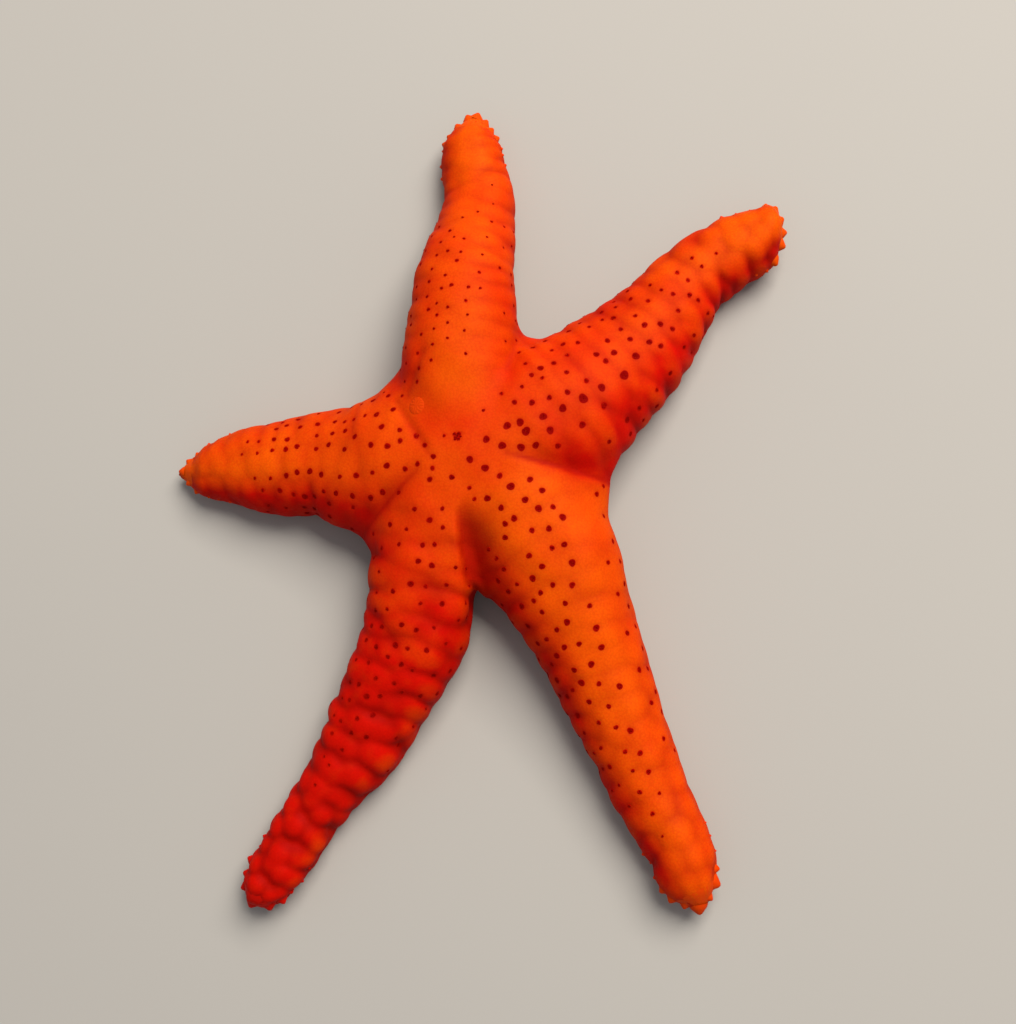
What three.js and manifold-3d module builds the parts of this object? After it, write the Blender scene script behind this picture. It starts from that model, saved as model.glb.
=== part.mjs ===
// A smooth red sea star (Hacelia attenuata), life size, resting on a level floor.
// Millimetres, +Z up, +Y towards the north arm. The floor is z = 0, and the origin is
// the middle of the star's bounding box, at floor level.
//
// Each arm is a closed sweep: a sphere whose poles are drawn out along a gently bent
// axis, with a domed upper side and a flatter sole. The arms and a low central dome are
// joined, the ambulacral grooves are cut along the soles, everything below the floor is
// trimmed to small flats, and thin cuts then part the body into its named pieces.

import * as THREE from 'three';
import { mergeVertices } from 'three/addons/utils/BufferGeometryUtils.js';
import Module from 'manifold-3d';

const wasm = await Module();
wasm.setup();

// ---- Driving dimensions ----

const PARTING_GAP = 0.3;
const FAR = 400;

// The disc: where its middle lies, and the low dome that webs the arm bases together.
const DISC_CENTRE = new THREE.Vector2(-1.2, 9.2);
const DOME = { offset: new THREE.Vector2(3, -3.2), radius: 26.3, top: 22.2, sole: 4.2, waist: 10.5 };
const DISC_CORNERS = [
  { bearing: 66, radius: 28.5 },
  { bearing: -7, radius: 33 },
  { bearing: -85, radius: 31.5 },
  { bearing: -142, radius: 30 },
  { bearing: 142, radius: 25.5 },
];

// The arms, counter-clockwise from the north. Reach and bearing run from the disc centre
// to the tip. Sway is the axis's offset to the left of that line and halfWidth the half
// breadth, both at every eighth of the reach. Depth is the arm's thickness from sole to
// crest and sole the height of its underside, both at every quarter; a sole below zero is
// pressed flat on the floor. The last tipLength of an arm rounds off to its end.
const ARMS = [
  {
    name: 'north',
    bearing: 90.3,
    reach: 76.6,
    sway: [0, 0.8, 1.3, 1.1, 0.9, -0.7, -1.2, 0.5, 0.1],
    halfWidth: [12, 13, 13, 11.9, 10.6, 8.9, 8.0, 7.1, 5.6],
    depth: [17.5, 18.5, 16.6, 12.4, 9.4],
    sole: [4.5, 5.2, 5.0, -0.2, 0.6],
    tipLength: 7.4,
  },
  {
    name: 'northeast',
    bearing: 35.9,
    reach: 82.3,
    sway: [0, -2.4, -4.0, -3.0, -1.7, 0.7, 3.4, 2.8, 0.9],
    halfWidth: [12, 15, 17, 14.2, 12.5, 10, 8.2, 7.4, 6.2],
    depth: [17.5, 20.4, 17.6, 13.2, 10.6],
    sole: [4.5, 2.6, -0.5, -0.5, 1.6],
    tipLength: 6.2,
  },
  {
    name: 'southeast',
    bearing: -62.8,
    reach: 104.3,
    sway: [0, 3.2, 5.0, 4.5, 3.8, 2.6, 1.5, 1.5, 0.2],
    halfWidth: [12, 15.5, 15.2, 12.1, 10.4, 9.1, 8.1, 6.9, 5.9],
    depth: [17.5, 19.6, 16.4, 12.6, 10.4],
    sole: [4.5, 2.4, -0.5, -0.5, 0.7],
    tipLength: 8.4,
  },
  {
    name: 'southwest',
    bearing: -115.1,
    reach: 104.2,
    sway: [0, 1.3, 3.2, 5.8, 5.4, 5.0, 2.4, 1.0, -0.6],
    halfWidth: [12, 13, 12.8, 11.2, 10, 8.8, 6.5, 6.1, 5.6],
    depth: [17.5, 18.2, 15.4, 11.4, 9.6],
    sole: [4.5, 2.4, -0.5, -0.5, 0.7],
    tipLength: 7.2,
  },
  {
    name: 'west',
    bearing: -177.6,
    reach: 64.6,
    sway: [0, 0.4, 1.0, 1.1, -0.2, -0.2, -0.4, -0.2, -0.3],
    halfWidth: [12, 13.8, 14.8, 13.8, 11.6, 10.6, 9.2, 6.8, 3.6],
    depth: [17.5, 18.6, 16.4, 12.8, 6.4],
    sole: [4.5, 2.2, -0.5, -0.5, 0.5],
    tipLength: 6.6,
  },
];

// The section of an arm: how much of its depth lies below the widest line, and how square
// each half is.
const LOWER_SHARE = 0.4;
const UPPER_SQUARENESS = 2.15;
const LOWER_SQUARENESS = 2.9;

// The furrow along each sole, from the edge of the mouth nearly to the tip.
const GROOVE = { start: 4, end: 0.95, halfWidthBase: 2.7, halfWidthTip: 1.5, depthBase: 4.6, depthTip: 2.4 };

// Where each arm is parted, as fractions of its reach.
const MIDDLE_CUT = 0.53;
const TIP_CUT = 0.76;
const TERMINAL_LENGTH = 4.2;

// The terminal plate's blunt tubercles, spread in an arch round the end of the arm. The
// three shares place them within the tip's length, half width and depth.
const TUBERCLE = { radius: 0.95, count: 5, spread: 150, sunk: 0.35, along: 0.8, across: 0.78, lift: 0.3 };

// The madreporite, a small grooved sieve plate set in the disc between two arms.
const MADREPORITE = { bearing: 139, distance: 12.6, radius: 2.3, thickness: 1.5, proud: 0.45, crown: 0.4 };
const FURROW = { count: 9, length: 2.3, width: 0.2, depth: 0.2, start: 0.9 };

// The mouth: a shallow membrane in the middle of the underside and five jaws around it.
const MOUTH = { radius: 5.6, recess: 2.9, membrane: 1.3, lip: 1.3, dimple: 0.7 };
const JAW = { root: 5.2, tip: 2.1, rootWidth: 2.6, tipWidth: 0.7, height: 1.7, sunk: 0.1 };

// How finely the sweeps are faceted.
const ARM_ROUND = 18;
const ARM_RINGS = 18;
const GROOVE_ROUND = 8;
const GROOVE_RINGS = 10;
const DOME_ROUND = 24;
const DOME_RINGS = 8;
const MOUTH_ROUND = 24;
const TUBERCLE_ROUND = 6;
const TUBERCLE_RINGS = 4;
const BUTTON_ROUND = 18;
const BUTTON_CURVE = 4;
const BUTTON_SHOULDER = 0.6;

const SKIN = { color: 0xf5400a, roughness: 0.55, metalness: 0 };
const PLATE = { color: 0xf46a1c, roughness: 0.6, metalness: 0 };
const SIEVE = { color: 0xe8501a, roughness: 0.7, metalness: 0 };
const ORAL = { color: 0xe9a06a, roughness: 0.6, metalness: 0 };

// ---- Curves ----

// A smooth curve through equally spaced values, read at t from 0 to 1.
function profile(values, t) {
  const last = values.length - 1;
  const place = THREE.MathUtils.clamp(t, 0, 1) * last;
  const i = Math.min(Math.floor(place), last - 1);
  const before = i > 0 ? values[i - 1] : 2 * values[0] - values[1];
  const after = i < last - 1 ? values[i + 2] : 2 * values[last] - values[last - 1];
  const f = place - i;
  const slopeHere = (values[i + 1] - before) / 2;
  const slopeNext = (after - values[i]) / 2;
  const rise = values[i + 1] - values[i];
  const bend = 3 * rise - 2 * slopeHere - slopeNext;
  const twist = slopeHere + slopeNext - 2 * rise;
  return values[i] + f * (slopeHere + f * (bend + f * twist));
}

function direction(bearing) {
  const angle = THREE.MathUtils.degToRad(bearing);
  return new THREE.Vector2(Math.cos(angle), Math.sin(angle));
}

// The arm's axis in plan, and the unit vector along it.
function axisPoint(arm, t) {
  const along = direction(arm.bearing);
  const left = new THREE.Vector2(-along.y, along.x);
  const point = DISC_CENTRE.clone();
  point.addScaledVector(along, t * arm.reach);
  point.addScaledVector(left, profile(arm.sway, t));
  return point;
}

function axisTangent(arm, t) {
  const step = 0.01;
  return axisPoint(arm, t + step).sub(axisPoint(arm, t - step)).normalize();
}

// One at the body of the arm, falling along a quarter ellipse to zero at the tip.
function tipShrink(arm, t) {
  const capLength = arm.tipLength / arm.reach;
  const q = Math.max(0, (t - (1 - capLength)) / capLength);
  return Math.sqrt(Math.max(0, 1 - q * q));
}

// ---- Solids ----

function solidFrom(geometry) {
  const bare = geometry.clone();
  bare.deleteAttribute('normal');
  bare.deleteAttribute('uv');
  const merged = mergeVertices(bare, 1e-4);
  const vertProperties = Float32Array.from(merged.attributes.position.array);
  const triVerts = Uint32Array.from(merged.index.array);
  return new wasm.Manifold(new wasm.Mesh({ numProp: 3, vertProperties, triVerts }));
}

function meshFrom(solid, name, finish) {
  const result = solid.getMesh();
  const geometry = new THREE.BufferGeometry();
  geometry.setAttribute('position', new THREE.BufferAttribute(Float32Array.from(result.vertProperties), 3));
  geometry.setIndex(new THREE.BufferAttribute(Uint32Array.from(result.triVerts), 1));
  geometry.computeVertexNormals();
  const mesh = new THREE.Mesh(geometry, new THREE.MeshStandardMaterial(finish));
  mesh.name = name;
  return mesh;
}

function joined(solids) {
  return solids.reduce((whole, solid) => whole.add(solid));
}

// A sphere with its poles on the y axis, every vertex handed to place(t, angle, pinch):
// t runs from pole to pole, angle goes round, and pinch is the ring's radius, 0 to 1.
function drawnSphere(round, rings, place) {
  const sphere = new THREE.SphereGeometry(1, round, rings);
  const position = sphere.attributes.position;
  for (let i = 0; i < position.count; i += 1) {
    const polar = Math.acos(THREE.MathUtils.clamp(-position.getY(i), -1, 1));
    const angle = Math.atan2(-position.getZ(i), position.getX(i));
    const point = place(polar / Math.PI, angle, Math.sin(polar) > 1e-4);
    position.setXYZ(i, point.x, point.y, point.z);
  }
  return solidFrom(sphere);
}

// The outline of an arm's section at an angle from its left edge, over the waist line.
function sectionPoint(angle, halfWidth, depth) {
  const cosine = Math.cos(angle);
  const sine = Math.sin(angle);
  const upper = sine >= 0;
  const power = 2 / (upper ? UPPER_SQUARENESS : LOWER_SQUARENESS);
  const rise = upper ? depth * (1 - LOWER_SHARE) : depth * LOWER_SHARE;
  return {
    across: halfWidth * Math.sign(cosine) * Math.abs(cosine) ** power,
    up: rise * Math.sign(sine) * Math.abs(sine) ** power,
  };
}

function armSweep(arm) {
  return drawnSphere(ARM_ROUND, ARM_RINGS, (fraction, angle, open) => {
    const t = Math.sin((fraction * Math.PI) / 2);
    const shrink = open ? tipShrink(arm, t) : 0;
    const depth = profile(arm.depth, t);
    const waist = profile(arm.sole, t) + depth * LOWER_SHARE;
    const { across, up } = sectionPoint(angle, profile(arm.halfWidth, t) * shrink, depth * shrink);
    const axis = axisPoint(arm, t);
    const tangent = axisTangent(arm, t);
    return new THREE.Vector3(axis.x - tangent.y * across, axis.y + tangent.x * across, waist + up);
  });
}

function grooveSweep(arm) {
  const start = GROOVE.start / arm.reach;
  return drawnSphere(GROOVE_ROUND, GROOVE_RINGS, (fraction, angle, open) => {
    const t = THREE.MathUtils.lerp(start, GROOVE.end, fraction);
    const halfWidth = THREE.MathUtils.lerp(GROOVE.halfWidthBase, GROOVE.halfWidthTip, t);
    const depth = THREE.MathUtils.lerp(GROOVE.depthBase, GROOVE.depthTip, t);
    const axis = axisPoint(arm, t);
    const tangent = axisTangent(arm, t);
    const across = open ? halfWidth * Math.cos(angle) : 0;
    const up = open ? depth * Math.sin(angle) : 0;
    const floor = Math.max(profile(arm.sole, t), 0);
    return new THREE.Vector3(axis.x - tangent.y * across, axis.y + tangent.x * across, floor + up);
  });
}

function domeSolid() {
  const centre = DISC_CENTRE.clone().add(DOME.offset);
  return drawnSphere(DOME_ROUND, DOME_RINGS, (fraction, angle) => {
    const tilt = (fraction - 0.5) * Math.PI;
    const radius = DOME.radius * Math.cos(tilt);
    const rise = tilt > 0 ? DOME.top - DOME.waist : DOME.waist - DOME.sole;
    const x = centre.x + radius * Math.cos(angle);
    const y = centre.y + radius * Math.sin(angle);
    return new THREE.Vector3(x, y, DOME.waist + rise * Math.sin(tilt));
  });
}

// Everything ahead of the station t along an arm (ahead = 1), or behind it (ahead = -1),
// short of the cut itself by half the parting gap.
function slabBeyond(arm, t, ahead) {
  const axis = axisPoint(arm, t);
  const tangent = axisTangent(arm, t);
  const box = new THREE.BoxGeometry(FAR, FAR, FAR);
  box.translate((ahead * (FAR + PARTING_GAP)) / 2, 0, 0);
  box.rotateZ(Math.atan2(tangent.y, tangent.x));
  box.translate(axis.x, axis.y, 0);
  return solidFrom(box);
}

// The upright five-sided block that holds the disc, its corners in the arm pits.
function discBlock(margin) {
  const outline = new THREE.Shape();
  DISC_CORNERS.forEach((corner, i) => {
    const point = direction(corner.bearing).multiplyScalar(corner.radius + margin).add(DISC_CENTRE);
    if (i === 0) {
      outline.moveTo(point.x, point.y);
    } else {
      outline.lineTo(point.x, point.y);
    }
  });
  const block = new THREE.ExtrudeGeometry(outline, { depth: FAR, bevelEnabled: false });
  block.translate(0, 0, -FAR / 2);
  return solidFrom(block);
}

// A round button with a gently crowned top.
function buttonSolid(radius, bottom, top, crown) {
  const outline = new THREE.Path();
  outline.moveTo(0, bottom);
  outline.lineTo(radius, bottom);
  outline.lineTo(radius, top - crown);
  outline.quadraticCurveTo(radius * BUTTON_SHOULDER, top, 0, top);
  const button = new THREE.LatheGeometry(outline.getPoints(BUTTON_CURVE), BUTTON_ROUND);
  button.rotateX(Math.PI / 2);
  return solidFrom(button);
}

// ---- Sub-parts ----

const floorBlock = new THREE.BoxGeometry(FAR, FAR, FAR);
floorBlock.translate(0, 0, -FAR / 2);
const belowFloor = solidFrom(floorBlock);

const grooves = joined(ARMS.map(grooveSweep));

function trimmed(solid) {
  return solid.subtract(grooves).subtract(belowFloor);
}

// Where the vertical line through a plan point leaves the top of a solid.
function topOf(solid, point) {
  const mesh = meshFrom(solid, 'probe', SKIN);
  mesh.material.side = THREE.DoubleSide;
  const down = new THREE.Vector3(0, 0, -1);
  const ray = new THREE.Raycaster(new THREE.Vector3(point.x, point.y, FAR), down);
  const hit = ray.intersectObject(mesh)[0];
  return { point: hit.point, normal: hit.face.normal };
}

function placeOnSurface(geometrySolid, seat) {
  const upright = new THREE.Vector3(0, 0, 1);
  const turn = new THREE.Quaternion().setFromUnitVectors(upright, seat.normal);
  const matrix = new THREE.Matrix4().compose(seat.point, turn, new THREE.Vector3(1, 1, 1));
  return geometrySolid.transform(matrix.elements);
}

// The sieve plate and the socket that it sits in.
function madreporite(body) {
  const place = direction(MADREPORITE.bearing).multiplyScalar(MADREPORITE.distance).add(DISC_CENTRE);
  const seat = topOf(body, place);
  const { radius, thickness, proud, crown } = MADREPORITE;
  const button = buttonSolid(radius, proud - thickness, proud, crown);
  const furrows = [];
  for (let i = 0; i < FURROW.count; i += 1) {
    const furrow = new THREE.BoxGeometry(FURROW.length, FURROW.width, 2 * FURROW.depth);
    furrow.translate(FURROW.start + FURROW.length / 2, 0, proud);
    furrow.rotateZ((i * 2 * Math.PI) / FURROW.count);
    furrows.push(solidFrom(furrow));
  }
  const plate = button.subtract(joined(furrows));
  const socketFloor = proud - thickness - PARTING_GAP;
  const socket = buttonSolid(radius + PARTING_GAP, socketFloor, thickness * 2, PARTING_GAP);
  return { plate: placeOnSurface(plate, seat), socket: placeOnSurface(socket, seat) };
}

// The mouth's membrane with its five jaws, and the recess that holds them.
function mouth() {
  const sole = ARMS[0].sole[0];
  const roof = sole + MOUTH.recess;
  const underside = roof - MOUTH.membrane;
  const membranePoints = [
    new THREE.Vector2(0, underside + MOUTH.dimple),
    new THREE.Vector2(MOUTH.lip, underside),
    new THREE.Vector2(MOUTH.radius, underside),
    new THREE.Vector2(MOUTH.radius, roof),
    new THREE.Vector2(0, roof),
  ];
  const membrane = new THREE.LatheGeometry(membranePoints, MOUTH_ROUND);
  membrane.rotateX(Math.PI / 2);
  const pieces = [solidFrom(membrane)];
  for (const corner of DISC_CORNERS) {
    const jawOutline = new THREE.Shape();
    jawOutline.moveTo(JAW.root, JAW.rootWidth / 2);
    jawOutline.lineTo(JAW.tip, JAW.tipWidth / 2);
    jawOutline.lineTo(JAW.tip, -JAW.tipWidth / 2);
    jawOutline.lineTo(JAW.root, -JAW.rootWidth / 2);
    const jaw = new THREE.ExtrudeGeometry(jawOutline, { depth: JAW.height, bevelEnabled: false });
    jaw.rotateZ(THREE.MathUtils.degToRad(corner.bearing));
    jaw.translate(0, 0, underside + JAW.sunk - JAW.height);
    pieces.push(solidFrom(jaw));
  }
  const recessRadius = MOUTH.radius + PARTING_GAP;
  const recess = new THREE.CylinderGeometry(recessRadius, recessRadius, MOUTH.recess + FAR, MOUTH_ROUND);
  recess.rotateX(Math.PI / 2);
  recess.translate(0, 0, roof + PARTING_GAP - (MOUTH.recess + FAR) / 2);
  const centre = [DISC_CENTRE.x, DISC_CENTRE.y, 0];
  return { plate: joined(pieces).translate(centre), recess: solidFrom(recess).translate(centre) };
}

// The last stretch of an arm, crowned with blunt tubercles round its edge.
function terminalPlate(arm, armSolid, station) {
  const end = armSolid.intersect(slabBeyond(arm, station, 1));
  const tangent = axisTangent(arm, 1);
  const heading = Math.atan2(tangent.y, tangent.x);
  const halfWidth = arm.halfWidth[8];
  const depth = arm.depth[4];
  const waist = arm.sole[4] + depth * LOWER_SHARE;
  const tip = axisPoint(arm, 1);
  const knobs = [];
  for (let i = 0; i < TUBERCLE.count; i += 1) {
    const swing = THREE.MathUtils.degToRad(TUBERCLE.spread * (i / (TUBERCLE.count - 1) - 0.5));
    const ahead = arm.tipLength * TUBERCLE.along * (Math.cos(swing) - 1) - TUBERCLE.sunk;
    const across = halfWidth * TUBERCLE.across * Math.sin(swing);
    const lift = depth * TUBERCLE.lift * Math.cos(swing) - TUBERCLE.radius;
    const knob = new THREE.SphereGeometry(TUBERCLE.radius, TUBERCLE_ROUND, TUBERCLE_RINGS);
    knob.translate(ahead, across, waist + lift);
    knob.rotateZ(heading);
    knob.translate(tip.x, tip.y, 0);
    knobs.push(solidFrom(knob));
  }
  return end.add(joined(knobs).intersect(slabBeyond(arm, station, 1)));
}

function armMeshes(arm) {
  const outer = trimmed(armSweep(arm)).subtract(discBlock(PARTING_GAP));
  const terminalStation = 1 - TERMINAL_LENGTH / arm.reach;
  const before = (t) => slabBeyond(arm, t, -1);
  const after = (t) => slabBeyond(arm, t, 1);
  return [
    meshFrom(outer.intersect(before(MIDDLE_CUT)), `${arm.name}_arm_base`, SKIN),
    meshFrom(outer.intersect(after(MIDDLE_CUT)).intersect(before(TIP_CUT)), `${arm.name}_arm_middle`, SKIN),
    meshFrom(outer.intersect(after(TIP_CUT)).intersect(before(terminalStation)), `${arm.name}_arm_tip`, SKIN),
    meshFrom(terminalPlate(arm, outer, terminalStation), `${arm.name}_terminal_plate`, PLATE),
  ];
}

// ---- Assembly ----

const group = new THREE.Group();

const body = trimmed(joined([domeSolid(), ...ARMS.map(armSweep)]));
const disc = body.intersect(discBlock(0));
const sieve = madreporite(disc);
const mouthParts = mouth();
group.add(meshFrom(disc.subtract(sieve.socket).subtract(mouthParts.recess), 'disc', SKIN));
group.add(meshFrom(sieve.plate, 'madreporite', SIEVE));
group.add(meshFrom(mouthParts.plate, 'mouth', ORAL));

for (const arm of ARMS) {
  group.add(...armMeshes(arm));
}

export default group;
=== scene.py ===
"""A smooth red sea star, Hacelia attenuata, as a still, life-size model on a pale floor.

The body is worked out in millimetres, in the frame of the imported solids, and turned to
metres when a mesh is made. One skin covers the disc and the arms. The small parts stand
on it: pore areas, end plates, sieve plate, vent, tube feet, spines and mouth.
"""

import logging
import math
from dataclasses import dataclass
from enum import Enum

import bpy
import numpy as np
from bpy.types import Material, Mesh, Node, NodeSocket, NodeTree, Object
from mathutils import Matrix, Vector
from mathutils.bvhtree import BVHTree


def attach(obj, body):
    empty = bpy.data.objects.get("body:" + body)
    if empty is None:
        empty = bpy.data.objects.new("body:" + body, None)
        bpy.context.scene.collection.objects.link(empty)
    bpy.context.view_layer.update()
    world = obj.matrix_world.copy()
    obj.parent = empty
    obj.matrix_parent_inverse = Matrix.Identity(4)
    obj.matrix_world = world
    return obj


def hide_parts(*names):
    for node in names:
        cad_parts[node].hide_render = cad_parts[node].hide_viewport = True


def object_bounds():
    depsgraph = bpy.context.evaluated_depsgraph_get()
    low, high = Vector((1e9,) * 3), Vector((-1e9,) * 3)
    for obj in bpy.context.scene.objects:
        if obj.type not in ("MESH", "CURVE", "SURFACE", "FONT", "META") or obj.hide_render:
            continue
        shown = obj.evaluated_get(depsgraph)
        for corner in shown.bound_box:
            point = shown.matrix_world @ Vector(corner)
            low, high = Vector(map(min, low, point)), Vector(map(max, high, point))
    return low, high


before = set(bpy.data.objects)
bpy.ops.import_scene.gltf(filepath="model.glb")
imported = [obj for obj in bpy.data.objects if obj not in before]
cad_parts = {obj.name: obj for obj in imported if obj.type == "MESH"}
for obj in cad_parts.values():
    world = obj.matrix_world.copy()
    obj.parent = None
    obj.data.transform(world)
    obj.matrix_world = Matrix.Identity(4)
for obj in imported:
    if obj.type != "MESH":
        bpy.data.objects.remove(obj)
CAD_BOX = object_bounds()

Array = np.ndarray
Pair = tuple[float, float]
Triple = tuple[float, float, float]
Outline = tuple[Pair, ...]

LOG = logging.getLogger("sea_star")
MM = 0.001
BODY = "root"
UV_NAME = "OFBake"
# How high the small parts end over the floor at least, in millimetres.
FLOOR_GAP = 0.02
# These keep a field smooth where its distance or its ratio would be zero.
TINY = 0.01
TINY_RATIO = 1e-6


class Slot(Enum):
    """The names of the material slots."""

    SKIN = "skin"
    SIEVE = "sieve_plate"
    PLATES = "terminal_plates"
    PORES = "pore_areas"
    ORAL = "oral_parts"
    SPINES = "spines"


# ---- Small helpers ----


def linear(code: str, alpha: float = 1.0) -> tuple[float, float, float, float]:
    """Turns an sRGB hex colour into linear light.

    Args:
        code: The colour as #RRGGBB.
        alpha: The opacity.

    Returns:
        Red, green, blue and alpha.
    """
    parts = []
    for start in (1, 3, 5):
        value = int(code[start:start + 2], 16) / 255
        parts.append(value / 12.92 if value <= 0.04045 else ((value + 0.055) / 1.055) ** 2.4)
    return (*parts, alpha)


def add_node(
    tree: NodeTree, kind: str, inputs: dict | None = None, **settings: object
) -> Node:
    """Adds a shader node with its settings and links.

    Args:
        tree: The tree that gets the node.
        kind: The node's type name, without the ShaderNode that all start with.
        inputs: For each input, by name or number, a value or the socket that feeds it.
        **settings: The node's own properties.

    Returns:
        The new node.
    """
    node = tree.nodes.new("ShaderNode" + kind)
    for name, value in settings.items():
        setattr(node, name, value)
    for key, value in (inputs or {}).items():
        if isinstance(value, NodeSocket):
            tree.links.new(value, node.inputs[key])
        else:
            node.inputs[key].default_value = value
    return node


def empty_material(name: str) -> Material:
    """Starts a material that has no nodes yet.

    Args:
        name: The material's name.

    Returns:
        The material.
    """
    material = bpy.data.materials.new(name)
    material.use_nodes = True
    material.node_tree.nodes.clear()
    return material


def smoothstep(low: float, high: float, value: Array) -> Array:
    """Goes smoothly from 0 at low to 1 at high, which may be the smaller of the two."""
    share = np.clip((value - low) / (high - low), 0.0, 1.0)
    return share * share * (3 - 2 * share)


def smooth_min(a: Array, b: Array, blend: float | Array) -> Array:
    """The lower of two fields, rounded over the given distance where they meet."""
    share = np.clip(0.5 + 0.5 * (b - a) / blend, 0.0, 1.0)
    return b + (a - b) * share - blend * share * (1 - share)


def profile(values: tuple[float, ...], t: Array) -> Array:
    """Reads a smooth curve through equally spaced values.

    Args:
        values: The values, from t = 0 to t = 1.
        t: Where to read it; outside 0 to 1 the end values hold.

    Returns:
        The curve's values.
    """
    row = np.array(values, float)
    ends = (2 * row[0] - row[1], 2 * row[-1] - row[-2])
    padded = np.concatenate(([ends[0]], row, [ends[1]]))
    last = len(row) - 1
    place = np.clip(t, 0.0, 1.0) * last
    i = np.minimum(place.astype(int), last - 1)
    f = place - i
    before, here, after, beyond = (padded[i + k] for k in range(4))
    slope_here = (after - before) / 2
    slope_next = (beyond - here) / 2
    rise = after - here
    bend = 3 * rise - 2 * slope_here - slope_next
    twist = slope_here + slope_next - 2 * rise
    return here + f * (slope_here + f * (bend + f * twist))


def drift(
    points: Array, wavelength: float, seed: int,
    waves: int = 7, spread: Pair = (0.7, 1.4),
) -> Array:
    """Slow, even noise: a few seeded sine waves of about one wavelength.

    Args:
        points: Where to read it.
        wavelength: The usual distance between crests, in the points' own unit.
        seed: Which noise.
        waves: How many sine waves are added.
        spread: The shortest and the longest of them, as shares of the wavelength.

    Returns:
        Values mostly between -1 and 1.
    """
    rng = np.random.default_rng(seed)
    total = np.zeros(len(points))
    for _ in range(waves):
        heading = rng.normal(size=points.shape[1])
        heading /= np.linalg.norm(heading)
        turns = points @ heading * (math.tau / (wavelength * rng.uniform(*spread)))
        total += np.sin(turns + rng.uniform(0, math.tau))
    return total / math.sqrt(waves)


def outside(offsets: tuple[Array, ...], radii: tuple[float | Array, ...]) -> Array:
    """About how far a point lies outside an ellipsoid, below zero inside it.

    Args:
        offsets: The point's offsets from the middle.
        radii: The ellipsoid's radius along each of them.

    Returns:
        The distance.
    """
    ratio = np.sqrt(sum((offset / radius) ** 2 for offset, radius in zip(offsets, radii)) + TINY_RATIO)
    away = np.sqrt(sum(offset ** 2 for offset in offsets) + TINY ** 2)
    return away - away / ratio


# ---- The body's shape, in millimetres ----

LOWER_SHARE = 0.4
UPPER_SQUARENESS = 2.15
LOWER_SQUARENESS = 2.9
DISC_CENTRE = np.array([-1.2, 9.2])
SIEVE_PLACE = (-10.7, 17.5)
UP = np.array([0.0, 0.0, 1.0])
DOWN = np.array([0.0, 0.0, -1.0])


@dataclass(frozen=True)
class Series:
    """One lengthwise row of pore areas.

    Start and end are millimetres from the middle of the disc. The angles are degrees to
    the left of the crest, where the row starts and ends. Spot is how wide a pore area is
    and pitch how far apart they are, in millimetres.
    """

    start: float
    end: float
    angle_in: float
    angle_out: float
    spot: float
    pitch: float


@dataclass(frozen=True)
class Relief:
    """How the plates under the skin swell it, in millimetres.

    Roll is how many degrees the middle of the back is turned to the left. Pitch is the
    length of a plate, and the other rows give the depth of the valleys between plates,
    each at the root, the middle and the tip: across the back, across the left and the
    right edge, and lengthwise between the rows of plates.
    """

    roll: float
    pitch: Triple
    crown: Triple
    left_edge: Triple
    right_edge: Triple
    rows: Triple


@dataclass(frozen=True)
class Tooth:
    """A blunt tooth on the end plate: degrees to the left and upward, and its length."""

    swing: float
    climb: float
    size: float


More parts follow.
